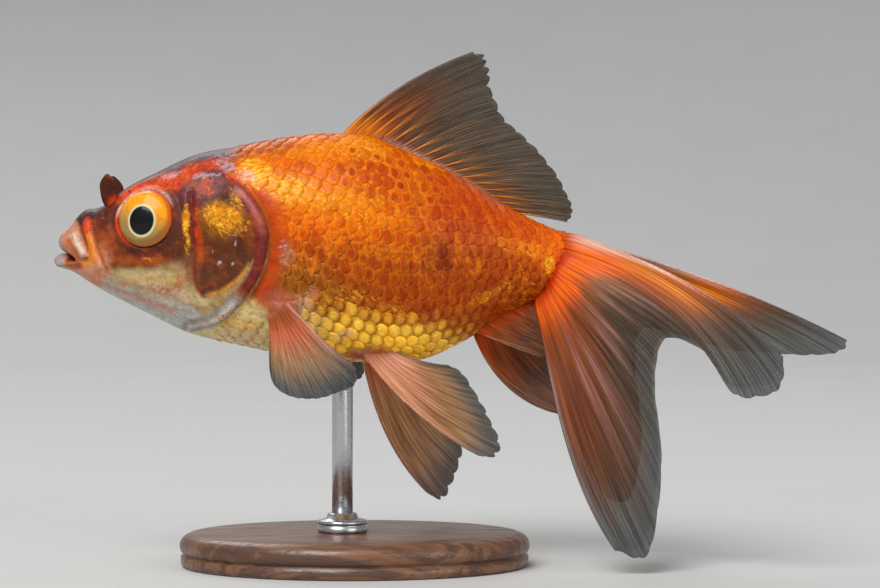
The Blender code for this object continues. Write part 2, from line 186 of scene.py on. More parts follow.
def outwards(mesh, name):
    """The same mesh with all its faces turned outwards."""
    bm = bmesh.new()
    bm.from_mesh(mesh)
    bmesh.ops.recalc_face_normals(bm, faces=bm.faces)
    return mesh_from(bm, name)


def closed_sheet(x_segments, y_segments, name):
    """A flat grid one unit wide with a copy one unit above it, closed all round."""
    bm = bmesh.new()
    bmesh.ops.create_grid(bm, x_segments=x_segments, y_segments=y_segments, size=0.5)
    grown = bmesh.ops.extrude_face_region(bm, geom=bm.faces[:])["geom"]
    bmesh.ops.translate(bm, vec=(0, 0, 1), verts=[v for v in grown if isinstance(v, bmesh.types.BMVert)])
    return mesh_from(bm, name)


def place(mesh, name, materials, slot, *nodes):
    """Turns a finished mesh from millimetres to metres and hangs it on the frame as a piece."""
    move_points(mesh, points_of(mesh) * MM)
    for material in materials:
        mesh.materials.append(material)
    mesh.shade_smooth()
    piece = bpy.data.objects.new(name, mesh)
    bpy.context.scene.collection.objects.link(piece)
    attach(piece, "root")
    if nodes:
        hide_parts(*nodes)
    faces = sum(len(face.vertices) - 2 for face in mesh.polygons)
    print(f"{name}: {faces} triangles")


print("until a mesh is placed, its unit is", MM, "m")


# %% [markdown]
# # Shader sums in plain Python
# A material is a tree of nodes, and long trees are hard to read. The class Wire stands for one
# socket and understands plus, minus, times and power, so a pattern can be written as a sum.
# Finish makes any other node from its type, its settings and its inputs.

# %% Two helpers for materials
class Wire:
    """One output socket that can be used in sums."""

    def __init__(self, finish, socket):
        self.finish = finish
        self.socket = socket

    def math(self, operation, *values):
        return self.finish.node("ShaderNodeMath", {"operation": operation}, dict(enumerate(values)))

    def __add__(self, other):
        return self.math("ADD", self, other)

    def __mul__(self, other):
        return self.math("MULTIPLY", self, other)

    def __sub__(self, other):
        return self.math("SUBTRACT", self, other)

    def __rsub__(self, other):
        return self.math("SUBTRACT", other, self)

    def __pow__(self, other):
        return self.math("POWER", self, other)

    __radd__, __rmul__ = __add__, __mul__


class Finish:
    """One material: its constants are set at once, and its patterns are wired to its shader."""

    def __init__(self, name, **constants):
        self.material = bpy.data.materials.new(name)
        self.material.use_nodes = True
        self.tree = self.material.node_tree
        self.shader = self.tree.nodes["Principled BSDF"]
        for socket, value in constants.items():
            self.shader.inputs[socket.replace("_", " ")].default_value = value

    def node(self, kind, settings=None, inputs=None, output=0):
        made = self.tree.nodes.new(kind)
        for name, value in (settings or {}).items():
            setattr(made, name, value)
        for name, value in (inputs or {}).items():
            if isinstance(value, Wire):
                self.tree.links.new(value.socket, made.inputs[name])
            else:
                made.inputs[name].default_value = value
        return Wire(self, made.outputs[output])

    def wear(self, **wires):
        for socket, wire in wires.items():
            self.tree.links.new(wire.socket, self.shader.inputs[socket.replace("_", " ")])

    def place(self, stretch=(1, 1, 1), turn=(0, 0, 0)):
        spot = self.node("ShaderNodeTexCoord", output="Object")
        return self.node("ShaderNodeMapping", inputs={"Vector": spot, "Scale": stretch, "Rotation": turn})

    def grain(self, length, turn):
        """Places for a noise whose lumps are drawn out along an axis that may lean."""
        spot = self.node("ShaderNodeTexCoord", output="Object")
        inputs = {"Vector": spot, "Scale": length, "Rotation": turn}
        return self.node("ShaderNodeMapping", {"vector_type": "TEXTURE"}, inputs)

    def stored(self, name, output="Vector"):
        return self.node("ShaderNodeAttribute", {"attribute_name": name}, output=output)

    def noise(self, vector, size, detail=3.0, rough=0.5, bend=0.0):
        """Noise from 0 to 1 whose lumps are about size mm across."""
        inputs = {"Vector": vector, "Scale": 1 / (size * MM), "Detail": detail}
        inputs |= {"Roughness": rough, "Distortion": bend}
        return self.node("ShaderNodeTexNoise", inputs=inputs)

    def spread(self, wire, low, high, start=0.0, end=1.0):
        """Maps low..high softly onto start..end."""
        inputs = {"Value": wire, "From Min": low, "From Max": high, "To Min": start, "To Max": end}
        return self.node("ShaderNodeMapRange", {"interpolation_type": "SMOOTHSTEP"}, inputs)

    def mix(self, share, one, two, blend="MIX"):
        inputs = {0: share, 6: one, 7: two}
        return self.node("ShaderNodeMix", {"data_type": "RGBA", "blend_type": blend}, inputs, output=2)

    def split(self, vector):
        made = self.node("ShaderNodeSeparateXYZ", inputs={"Vector": vector})
        return [Wire(self, out) for out in made.socket.node.outputs]

    def relief(self, height, depth):
        """Bumps of a depth in mm, wired to the shader's normal."""
        inputs = {"Height": height, "Distance": depth * MM, "Strength": 1.0}
        self.wear(Normal=self.node("ShaderNodeBump", inputs=inputs))


def paint(*values):
    """A colour as it looks, with values up to 255, turned into the light values that shaders mix."""
    return np.array([v / 255 / 12.92 if v <= 10 else ((v / 255 + 0.055) / 1.055) ** 2.4 for v in values])


def tint(red, green, blue):
    """The same with a fourth value, as the colour sockets of nodes want it."""
    return (*paint(red, green, blue), 1.0)


print("a mid grey as light:", paint(128).round(3)[0])


# %% [markdown]
# # The studio
# A pale room in the round, lit softly, shows the fish without distraction. The floor is a turned
# profile that runs flat under the stand and curves up far away, so no line crosses the picture
# from any side. One large lamp above and in front gives form, a second fills the shadows, and a
# third behind draws a thin bright line along the back.

# %% Turn a profile
def turned(profile, x, steps):
    """Spins a profile of (radius, height) pairs, which starts on the axis, about an upright axis at x."""
    bm = bmesh.new()
    corners = [bm.verts.new((radius, 0, height)) for radius, height in profile]
    edges = [bm.edges.new(pair) for pair in zip(corners, corners[1:])]
    bmesh.ops.spin(bm, geom=corners + edges, axis=(0, 0, 1), cent=(0, 0, 0), angle=math.tau, steps=steps,
                   use_merge=True, use_duplicate=False)
    bmesh.ops.remove_doubles(bm, verts=bm.verts, dist=0.001)
    bmesh.ops.recalc_face_normals(bm, faces=bm.faces)
    bmesh.ops.translate(bm, vec=(x, 0, 0), verts=bm.verts)
    return bm


# %% The floor
ROOM_FLAT, ROOM_RADIUS, ROOM_HEIGHT = 900.0, 2600.0, 1800.0
ROOM_CURVE_STEPS = 12


def make_room():
    sweep = ROOM_RADIUS - ROOM_FLAT
    profile = [(0.0, 0.0), (ROOM_FLAT, 0.0)]
    for step in range(1, ROOM_CURVE_STEPS + 1):
        turn = math.radians(90 * step / ROOM_CURVE_STEPS)
        profile.append((ROOM_FLAT + sweep * math.sin(turn), sweep * (1 - math.cos(turn))))
    profile.append((ROOM_RADIUS, ROOM_HEIGHT))
    mesh = mesh_from(turned(profile, 0.0, 96), "room")
    move_points(mesh, points_of(mesh) * MM)
    mesh.shade_smooth()
    wall = Finish("studio_paper", Roughness=0.9)
    grain = wall.noise(wall.place(), 60.0, 2.0)
    wall.wear(Base_Color=wall.mix(grain, tint(196, 196, 194), tint(201, 201, 199)))
    mesh.materials.append(wall.material)
    room = bpy.data.objects.new("room", mesh)
    bpy.context.scene.collection.objects.link(room)


make_room()
print("the floor is flat for", ROOM_FLAT, "mm around the stand")

# %% The lamps
LAMPS = (  # a name, its place, what it is aimed at and its size in mm, and its power in watts
    ("key", (-480, -1000, 1150), (0, 0, 35), 800, 20.0),
    ("fill", (1100, -1000, 420), (10, 0, 30), 900, 6.0),
    ("rim", (-420, 1150, 1100), (10, 0, 35), 700, 5.0),
)
for name, spot, aim, size, watts in LAMPS:
    lamp = bpy.data.lights.new(name, "AREA")
    lamp.size = size * MM
    lamp.energy = watts
    holder = bpy.data.objects.new(name, lamp)
    holder.location = Vector(spot) * MM
    holder.rotation_euler = (Vector(aim) - Vector(spot)).to_track_quat("-Z", "Y").to_euler()
    bpy.context.scene.collection.objects.link(holder)

world = bpy.data.worlds.new("studio")
world.use_nodes = True
world.node_tree.nodes["Background"].inputs["Color"].default_value = (0.95, 0.97, 1.0, 1.0)
world.node_tree.nodes["Background"].inputs["Strength"].default_value = 0.5
bpy.context.scene.world = world
bpy.context.scene.view_settings.view_transform = "Standard"
print("the studio has", len(LAMPS), "lamps")

# %% [markdown]
# # The body's outline
# A fish can be drawn as rings along its length. Four curves say how high the back is, how low the
# belly hangs, how wide the fish is and at which height it is widest. A fifth says how full each
# ring is, from a plain oval at 2 towards a box. The sizes are those of the frame's solids.

# %% The rings of the body
BACK = curve(
    (-34.2, 40.5), (-33.5, 41.5), (-32.8, 42.3), (-32.0, 42.8), (-31.1, 42.85), (-30.0, 43.2),
    (-27.9, 44.9), (-23.2, 47.4), (-19.0, 49.3), (-14.5, 50.2), (-8.6, 51.3), (-2.6, 51.8),
    (2.0, 51.4), (6.7, 49.5), (13.4, 46.2), (18.0, 43.3), (21.1, 41.6), (24.4, 40.2),
)
BELLY = curve(
    (-34.2, 35.4), (-30.8, 33.2), (-25.0, 30.2), (-20.0, 27.8), (-13.9, 26.3),
    (-7.0, 25.0), (0.4, 24.3), (5.2, 24.2), (8.8, 24.8), (12.0, 26.2),
    (17.8, 29.6), (21.4, 31.2), (24.4, 31.9),
)
HALF_WIDTH = curve(
    (-34.2, 3.0), (-31.5, 4.1), (-28.0, 5.3), (-25.0, 6.1), (-20.0, 7.3), (-14.0, 8.5),
    (-7.0, 9.2), (0.0, 9.3), (6.0, 8.6), (12.0, 6.7), (18.0, 4.5), (24.4, 2.8),
)
WIDEST = curve(
    (-34.2, 36.8), (-30.0, 37.8), (-25.0, 38.8), (-15.0, 38.4), (0.0, 37.6), (15.0, 36.8),
    (24.4, 36.0),
)
FULLNESS = curve((-34.2, 2.1), (-25.0, 2.35), (-10.0, 2.2), (5.0, 2.1), (24.4, 2.0))
SNOUT_X, TAIL_ROOT_X, TAIL_CAP = -34.2, 24.4, 2.6
CORNER_SETBACK, SETBACK_LENGTH = 2.2, 2.8
COAT_DEPTH = 0.12
print("the body is", round(TAIL_ROOT_X - SNOUT_X, 1), "mm long from the snout to the tail's root")

# %% A point of the skin
def power(value, exponent):
    return np.sign(value) * np.abs(value) ** exponent


def body_point(x, angle, swell=0.0):
    """The skin at station x. The angle is 0 on the back and a quarter turn on the fish's right side."""
    x, angle = np.broadcast_arrays(np.asarray(x, float), np.asarray(angle, float))
    up, side = np.cos(angle), np.sin(angle)
    middle, shape = WIDEST(x), 2 / FULLNESS(x)
    reach = np.where(up > 0, BACK(x) - middle, middle - BELLY(x)) + swell
    setback = CORNER_SETBACK * np.exp((SNOUT_X - x) / SETBACK_LENGTH) * side * side
    across = (HALF_WIDTH(x) + swell) * power(side, shape)
    return np.stack([x + setback, across, middle + reach * power(up, shape)], -1)


print("the middle of the back:", body_point(0.0, 0.0).round(1))


# %% [markdown]
# # The mouth
# The mouth is slightly open, as when a goldfish breathes. The lips are one bent roll: seen from
# the front it is an arch, and the corners lie further back than the middle. Inside, the skin runs
# on into a small pocket, so the opening has depth.

# %% Lips and mouth pocket
LIP_RADIUS, LIP_FRONT_X, LOWER_LIP_REACH, LOWER_LIP_THINNER = 1.15, -34.25, 0.85, 0.28
UPPER_LIP_CURVE, LOWER_LIP_CURVE = 6.0, 4.0
MOUTH_HALF_WIDTH, MOUTH_DEPTH, MOUTH_END_RISE, POCKET_SWELL = 1.8, 3.0, 0.9, 0.35
MOUTH_CORNER_Z, UPPER_LIP_RISE, LOWER_LIP_RISE = 36.4, 2.5, 0.1


def lip_point(angle, turn):
    """The roll of the lips. The turn is 0 outside, a quarter at the front and a half inside."""
    up, side = np.cos(angle), np.sin(angle)
    lower = np.maximum(-up, 0)
    radius = LIP_RADIUS - LOWER_LIP_THINNER * lower
    setback = CORNER_SETBACK * np.abs(side) ** np.where(up > 0, UPPER_LIP_CURVE, LOWER_LIP_CURVE)
    front = LIP_FRONT_X + setback - LOWER_LIP_REACH * lower
    rise = np.where(up > 0, UPPER_LIP_RISE * up, -LOWER_LIP_RISE * up)
    out = radius * np.cos(turn)
    return np.stack([
        front - radius * np.sin(turn),
        MOUTH_HALF_WIDTH * side + side * out,
        MOUTH_CORNER_Z + rise + up * out,
    ], -1)


def mouth_point(angle, share):
    """The pocket behind the lips, from their inner edge at share 0 to its end at 1."""
    end = np.array([LIP_FRONT_X + MOUTH_DEPTH, 0, MOUTH_CORNER_Z + MOUTH_END_RISE])
    edge = lip_point(angle, np.pi)
    belly_out = POCKET_SWELL * np.sin(np.pi * share) * (edge - end) * [0, 1, 1]
    return edge * (1 - share) + end * share + belly_out


print("the end of the mouth's pocket:", mouth_point(0.0, 1.0).round(1))


# %% The end of the tail stalk
TAIL_CAP_HEIGHT = 0.3


def tail_cap_point(angle, turn, swell=0.0):
    """The rounded end of the stalk, inside the root of the tail."""
    edge = body_point(TAIL_ROOT_X, angle, swell)
    middle = WIDEST(TAIL_ROOT_X)
    narrowed = np.cos(turn)
    return np.stack([
        edge[..., 0] + (TAIL_CAP + swell) * np.sin(turn),
        edge[..., 1] * narrowed,
        middle + (edge[..., 2] - middle) * (TAIL_CAP_HEIGHT + (1 - TAIL_CAP_HEIGHT) * narrowed),
    ], -1)


print("the stalk ends at x", tail_cap_point(0.0, math.pi / 2).round(1)[0])


# %% [markdown]
# # Lines on the head
# The bones under a fish's cheek show as ridges and grooves. Each is a line drawn on the side of the
# head in x and height, smoothed through a few points. Both the shape and the colours use these
# lines, so that a groove and the dark streak in it always meet.

# %% Anatomy as lines
LINE_STEPS = 40


def line(*points):
    """A smooth line through a few points, as many short steps."""
    places = np.linspace(0, 1, len(points))
    return through(places, points)(np.linspace(0, 1, LINE_STEPS))


def away(points, drawn):
    """Distance of each point from a line on the side view, and how far along it the nearest place is.

    The distance is positive on the left of the line's direction and negative on its right.
    """
    flat = points[..., ::2].reshape(-1, 2)
    start, run = drawn[:-1], np.diff(drawn, axis=0)
    offset = flat[:, None] - start
    along = np.clip((offset * run).sum(-1) / (run * run).sum(-1), 0, 1)
    gap = offset - run * along[..., None]
    size = np.linalg.norm(gap, axis=-1)
    nearest = size.argmin(1)
    pick = np.arange(len(flat)), nearest
    turn = run[nearest, 0] * gap[pick][:, 1] - run[nearest, 1] * gap[pick][:, 0]
    shape = points.shape[:-1]
    share = (nearest + along[pick]) / len(run)
    return (np.sign(turn) * size[pick]).reshape(shape), share.reshape(shape)


# %% The lines, in x and height
GILL_EDGE = line((-15.0, 46.6), (-13.0, 45.3), (-11.4, 43.5), (-10.1, 41.3), (-9.6, 38.7), (-10.0, 36.1),
                 (-10.9, 34.0), (-12.3, 32.0), (-13.9, 30.4), (-16.1, 28.7), (-19.0, 28.0))
CHEEK_GROOVE = line((-19.0, 45.2), (-18.9, 43.3), (-18.5, 39.3), (-18.4, 35.0), (-18.0, 32.9),
                    (-16.6, 31.6))
GILL_SUTURE = line((-17.4, 32.2), (-15.2, 32.9), (-13.2, 34.3), (-12.0, 35.8))
LIP_BONE = line((-33.6, 39.9), (-33.1, 38.9), (-32.5, 37.9), (-32.0, 37.0))
LIP_FOLD = line((-32.7, 41.1), (-32.5, 40.1), (-32.1, 39.1), (-31.7, 38.1), (-31.4, 37.2))
CHEEK_ROLL = line((-31.8, 41.0), (-31.6, 39.9), (-31.3, 38.8), (-30.8, 37.5), (-30.0, 35.7))
MOUTH_FOLD = line((-31.2, 40.8), (-30.7, 39.0), (-29.9, 37.1), (-29.0, 34.7))
MOUTH_CORNER = line((-31.4, 38.6), (-31.0, 37.4), (-31.2, 36.4), (-32.0, 36.0), (-33.0, 36.0))
JAW_FOLD = line((-30.1, 33.7), (-27.0, 32.5), (-24.0, 31.4), (-20.5, 30.2))
NOSTRIL = np.array([-29.7, 42.0])
print("the gill's edge runs down from height", GILL_EDGE[0, 1], "to", GILL_EDGE[-1, 1])

# %% [markdown]
# # The eyes
# The frame has each eye as a flattened ball that faces out of the head. Its centre and the way it
# faces are read from that solid: the ball is thinnest along its own line of sight.

# %% Read where the eyes look
def eye_frame(node):
    """The centre of an eye in mm, and three directions: forwards, upwards and out of the head."""
    points = points_of(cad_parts[node].data) / MM
    centre = (points.max(0) + points.min(0)) / 2 - [0.1, 0, 0]
    _, axes = np.linalg.eigh(np.cov((points - centre).T))
    out = axes[:, 0] * np.sign(axes[1, 0] * centre[1])
    up = unit(np.array([0, 0, 1.0]) - out * out[2])
    return centre, np.cross(up, out) * np.sign(centre[1]), up, out


def beside_eye(points, centre, out):
    """How far points lie from an eye's line of sight, and how far out of the head."""
    reach = points - centre
    depth = reach @ out
    return np.linalg.norm(reach - depth[..., None] * out, axis=-1), depth


EYES = {side: eye_frame(f"eye_{side}") for side in ("left", "right")}
EYE_RADIUS = 3.35
for side, (centre, _, _, out) in EYES.items():
    print(f"{side} eye at", centre.round(2), "looking", out.round(2))

# %% [markdown]
# # Relief of the head
# The head has no scales, so its skin shows every form below it. Heights in millimetres are added
# along the skin's own direction: the gill cover ends in a step, the cheek has a groove, each eye
# sits in a ring of soft skin, and a fold runs down behind the lips. Further back, the paired fins
# grow out of low fleshy hills.

# %% Heights and widths of the forms, in mm
COVER_STEP, COVER_EDGE_GROOVE, COVER_BORDER_GROOVE = 0.42, 0.16, 0.10
CHEEK_GROOVE_DEPTH, CHEEK_RIDGE = 0.20, 0.12
NOSTRIL_DEPTH, NOSTRIL_RIM = 0.35, 0.10
EYE_RING, EYE_MOAT, EYE_SOCKET = 0.30, 0.14, 1.6
FOLDS = (  # a line, its height (below 0 it is a groove), its width, and how far aside it starts to show
    (GILL_SUTURE, -0.07, 0.20, (1.5, 4.0)), (LIP_BONE, 0.26, 0.40, (0.9, 2.2)),
    (LIP_FOLD, -0.26, 0.24, (0.9, 2.2)), (CHEEK_ROLL, 0.20, 0.36, (0.9, 2.2)),
    (MOUTH_FOLD, -0.16, 0.20, (0.9, 2.2)), (JAW_FOLD, -0.08, 0.25, (0.6, 1.6)),
)
HILLS = (  # x and height, how much longer than high or flatter it is, its size, and its rise
    (-24.2, 35.6, 1.0, 1.3, 2.6, 0.22), (-8.7, 31.1, 1.15, 1.0, 1.6, 0.55),
    (1.9, 24.9, 2.2, 1.0, 1.1, 0.40),
)
print(len(FOLDS), "folds and", len(HILLS), "hills: the cheek and the fleshy roots of two fins")


# %% Raise the skin
def head_relief(points):
    """How far the skin stands out at each point, on the head and at the roots of the paired fins."""
    x, aside, z = points[..., 0], np.abs(points[..., 1]), points[..., 2]
    height = np.zeros(points.shape[:-1])
    flank, front = ease(1.5, 4.0, aside), ease(0.9, 2.2, aside)
    from_edge, along = away(points, GILL_EDGE)
    inside = -from_edge
    cover = between(inside, 0.0, 0.28, 1.0, 7.5) * between(along, 0.0, 0.12, 0.9, 1.0)
    height += COVER_STEP * cover * flank
    height -= COVER_EDGE_GROOVE * bump(inside + 0.3, 0.35) * flank
    height -= COVER_BORDER_GROOVE * bump(inside - 1.45, 0.22) * flank * between(along, 0.1, 0.25, 0.8, 0.9)
    groove, along = away(points, CHEEK_GROOVE)
    shown = flank * between(along, 0.0, 0.15, 0.85, 1.0)
    height -= CHEEK_GROOVE_DEPTH * bump(groove, 0.28) * shown
    height += CHEEK_RIDGE * bump(groove + 0.75, 0.5) * shown
    for drawn, rise, width, reach in FOLDS:
        height += rise * bump(away(points, drawn)[0], width) * ease(*reach, aside)
    hole = np.hypot(x - NOSTRIL[0], z - NOSTRIL[1])
    height -= NOSTRIL_DEPTH * bump(hole, 0.42) * front
    height += NOSTRIL_RIM * bump(hole - 0.65, 0.22) * front
    for hill_x, hill_z, longer, flatter, size, rise in HILLS:
        height += rise * bump(np.hypot((x - hill_x) / longer, (z - hill_z) * flatter), size) * flank
    for centre, _, _, out in EYES.values():
        beside, depth = beside_eye(points, centre, out)
        same_side = ease(0.0, 0.5, depth + 1.5)
        height += EYE_RING * bump(beside - EYE_RADIUS - 0.30, 0.34) * same_side
        height -= EYE_MOAT * bump(beside - EYE_RADIUS - 1.05, 0.35) * same_side
        height -= EYE_SOCKET * (1 - ease(EYE_RADIUS - 0.5, EYE_RADIUS + 0.06, beside)) * same_side
    return height


# %% [markdown]
# # The skin of the body
# The skin starts as a ball of many rings. One pole goes to the back of the mouth and the other to
# the end of the tail stalk, and every ring between them takes its place on the lips or the body.
# The head gets the finest rings. A ball is closed, so the skin is too, inside the mouth as well.

# %% The rings from mouth to tail
AROUND = 200
HEAD_END_X = -9.0
POCKET_RINGS, LIP_RINGS = 8, 16
CAP_TURNS = np.radians([20, 40, 60, 75, 84])


def body_rings():
    """Rows of points, one for each ring of the ball, from the mouth's end to the tail's."""
    angles = (np.arange(AROUND) * math.tau / AROUND)[None]
    rows = [mouth_point(angles, share) for share in np.linspace(1, 0.08, POCKET_RINGS)[:, None, None]]
    rows += [lip_point(angles, turn) for turn in np.linspace(np.pi, 0, LIP_RINGS)]
    stations = np.concatenate([
        np.linspace(-33.95, -30.0, 30),
        np.linspace(-30.0, HEAD_END_X, 125)[1:],
        np.linspace(HEAD_END_X, TAIL_ROOT_X, 60)[1:],
    ])
    rows += [body_point(x, angles, -COAT_DEPTH) for x in stations]
    rows += [tail_cap_point(angles, turn, -COAT_DEPTH) for turn in CAP_TURNS]
    last = tail_cap_point(angles, math.pi / 2, -COAT_DEPTH)
    rows.append(last * [1, 1, 0] + [0, 0, WIDEST(TAIL_ROOT_X)])
    return np.concatenate(rows)


def directions(rings):
    """The way out of the skin at every point of the rings."""
    along = np.gradient(rings, axis=0)
    around = np.roll(rings, -1, 1) - np.roll(rings, 1, 1)
    out = unit(np.cross(around, along))
    middle = rings[len(rings) // 2]
    right_way = ((middle - middle.mean(0)) * out[len(rings) // 2]).sum() > 0
    return out if right_way else -out


def relaxed(rings, first, last, rounds):
    """Evens out the rings from first to last along the fish, so that lips and snout flow together."""
    for _ in range(rounds):
        part = rings[first - 1:last + 2]
        rings[first:last + 1] = part[1:-1] * 0.4 + (part[:-2] + part[2:]) * 0.3
    return rings


# %% Bend a ball into the body
def make_body_skin():
    rings = relaxed(body_rings(), first=21, last=36, rounds=5)
    rings += directions(rings) * head_relief(rings)[..., None]
    bm = bmesh.new()
    bmesh.ops.create_uvsphere(bm, u_segments=AROUND, v_segments=len(rings) - 1, radius=1.0)
    for corner in bm.verts:
        ring = round(math.acos(max(-1.0, min(1.0, corner.co.z))) / math.pi * (len(rings) - 1))
        step = round(math.atan2(corner.co.y, corner.co.x) / math.tau * AROUND) % AROUND
        corner.co = rings[ring, step]
    bmesh.ops.recalc_face_normals(bm, faces=bm.faces)
    return mesh_from(bm, "body_skin")


body_skin = make_body_skin()
print("body skin:", len(body_skin.polygons), "faces")

# %% [markdown]
# # The colours of the coat
# A goldfish's colour lies in three layers: black cells, red and yellow cells, and silvery mirrors
# below them. Where they mix, one scale is orange and its neighbour brown. The colours here are a
# small box of paints. A mark is a soft, ragged patch of one paint at a named place on the side of
# the fish. The skin and the scales ask the same function for their colour, so they always agree.

# %% A box of paints
SHADES = {
    "orange": (238, 108, 4), "amber": (250, 146, 8), "yellow": (255, 190, 18), "ember": (200, 70, 4),
    "burnt": (172, 70, 4), "brown": (104, 56, 28), "umber": (86, 40, 22), "olive": (146, 88, 20),
    "gold": (248, 196, 66), "straw": (236, 220, 158), "cream": (186, 160, 110),
    "white": (198, 208, 202), "silver": (158, 160, 162), "pearl": (240, 222, 204),
    "pink": (208, 148, 140), "salmon": (216, 150, 114), "scarlet": (228, 72, 20),
    "crimson": (214, 44, 10), "maroon": (124, 38, 24), "mauve": (196, 112, 108),
    "violet": (112, 56, 58), "slate": (68, 48, 56), "smoke": (88, 76, 62), "mist": (84, 92, 91),
    "flame": (250, 106, 0), "sienna": (140, 70, 24), "rust": (176, 82, 26), "sand": (176, 132, 88),
    "rose": (200, 106, 70), "clay": (118, 76, 52),
}
PAINTS = {name: paint(*shade) for name, shade in SHADES.items()}
print(len(PAINTS), "paints in the box")

# %% Ways to lay paint
def lay(colour, *layers):
    """Lays paints one over another. Each layer is a mask of up to 1 and the name of its paint."""
    for mask, name in layers:
        colour = colour + (PAINTS[name] - colour) * mask[..., None]
    return colour


def patches(points, rows, ragged=0.35, soft=0.4):
    """For each row of marks: where its soft, uneven oval covers the side view, and its name."""
    uneven = ragged * cloud(points, 0.9, 3, 3)
    for name, x, z, length, height, tilt, strength in rows:
        along, up = points[..., 0] - x, points[..., 2] - z
        turn = math.radians(tilt)
        u = (along * math.cos(turn) + up * math.sin(turn)) / length
        v = (up * math.cos(turn) - along * math.sin(turn)) / height
        yield strength * (1 - ease(1 - soft, 1 + soft, np.hypot(u, v) + uneven)), name


def patch(points, *spot, **edge):
    """A single mark, given as x, height, half length, half height and tilt."""
    return next(patches(points, [("", *spot, 1.0)], **edge))[0]


STREAK_FADE = 0.12


def streak(points, drawn, width, start=0.0, end=1.0):
    """A soft line on the side view, fading at both ends."""
    gap, along = away(points, drawn)
    gap = gap + 0.12 * cloud(points, 0.7, 5)
    return bump(gap, width) * between(along, start, start + STREAK_FADE, end - STREAK_FADE, end)


# %% [markdown]
# # Marks on the body
# Each row below is one mark: its paint, its place, its half length and half height in millimetres,
# how it leans, and how strongly it covers. Yellow lies on the shoulder, partly the fish's own colour
# and partly painted glints of light, deep red over the rear, olive and silver mix behind the gill,
# and the belly is straw and gold.

# %% The marks
BODY_MARKS = (
    # The amber rows on the shoulder, from x -11 to x -4.6, are partly painted glints.
    ("amber", -11.0, 46.3, 2.4, 1.5, -35, 0.9), ("amber", -7.2, 44.9, 3.4, 1.6, -14, 0.9),
    ("amber", -4.6, 43.8, 3.0, 1.4, -12, 0.7), ("amber", -0.5, 43.6, 3.6, 1.6, -5, 0.8),
    ("amber", -5.6, 49.6, 3.6, 1.5, 8, 0.6), ("amber", 0.5, 50.2, 3.4, 1.5, -10, 0.9),
    ("ember", 4.2, 46.6, 3.2, 1.6, -15, 0.5), ("ember", 10.8, 44.4, 4.4, 2.6, -30, 0.9),
    ("rose", 14.6, 45.1, 4.6, 0.6, -36, 0.8), ("amber", 7.7, 44.6, 0.9, 2.6, 10, 0.5),
    ("amber", 8.2, 48.4, 2.4, 0.6, -30, 0.7), ("scarlet", -5.0, 39.6, 2.8, 1.2, 10, 0.5),
    ("amber", 2.6, 41.0, 3.0, 1.2, 0, 0.4), ("burnt", -3.5, 36.3, 3.4, 2.4, 0, 0.7),
    ("olive", -5.2, 34.0, 3.4, 2.8, 0, 0.85), ("cream", -7.5, 37.0, 0.5, 1.5, 0, 0.5),
    ("cream", -6.2, 31.2, 1.3, 0.9, 60, 0.5), ("mauve", -4.4, 32.3, 0.6, 1.0, 0, 0.4),
    ("maroon", -9.6, 32.4, 1.4, 1.3, 0, 0.6), ("burnt", 10.1, 36.5, 2.8, 2.2, 0, 0.8),
    ("umber", 10.1, 36.5, 2.2, 1.5, 0, 0.35), ("amber", 14.8, 31.7, 2.2, 0.7, 25, 0.35),
    ("amber", 18.5, 38.3, 2.0, 0.9, -20, 0.25), ("amber", 21.6, 37.4, 1.5, 0.8, 0, 0.5),
    ("burnt", 20.4, 35.0, 1.8, 0.9, 20, 0.4), ("rust", -10.8, 50.0, 4.4, 1.3, 8, 0.85),
    ("rose", -8.6, 31.2, 2.4, 1.8, -25, 0.95), ("violet", -9.4, 32.5, 1.3, 0.7, -20, 0.5),
    ("pink", -7.8, 31.0, 1.2, 0.4, -20, 0.5), ("rose", 2.2, 24.9, 3.4, 1.2, 0, 0.95),
    ("pink", 1.2, 25.6, 1.0, 0.3, 0, 0.6), ("orange", 23.6, 37.6, 1.8, 2.4, 0, 0.8),
    ("scarlet", 24.6, 34.6, 1.2, 3.4, -14, 0.9), ("crimson", 24.2, 35.0, 0.5, 2.6, -14, 0.9),
    ("scarlet", 23.6, 30.6, 1.8, 2.2, 0, 0.8),
)
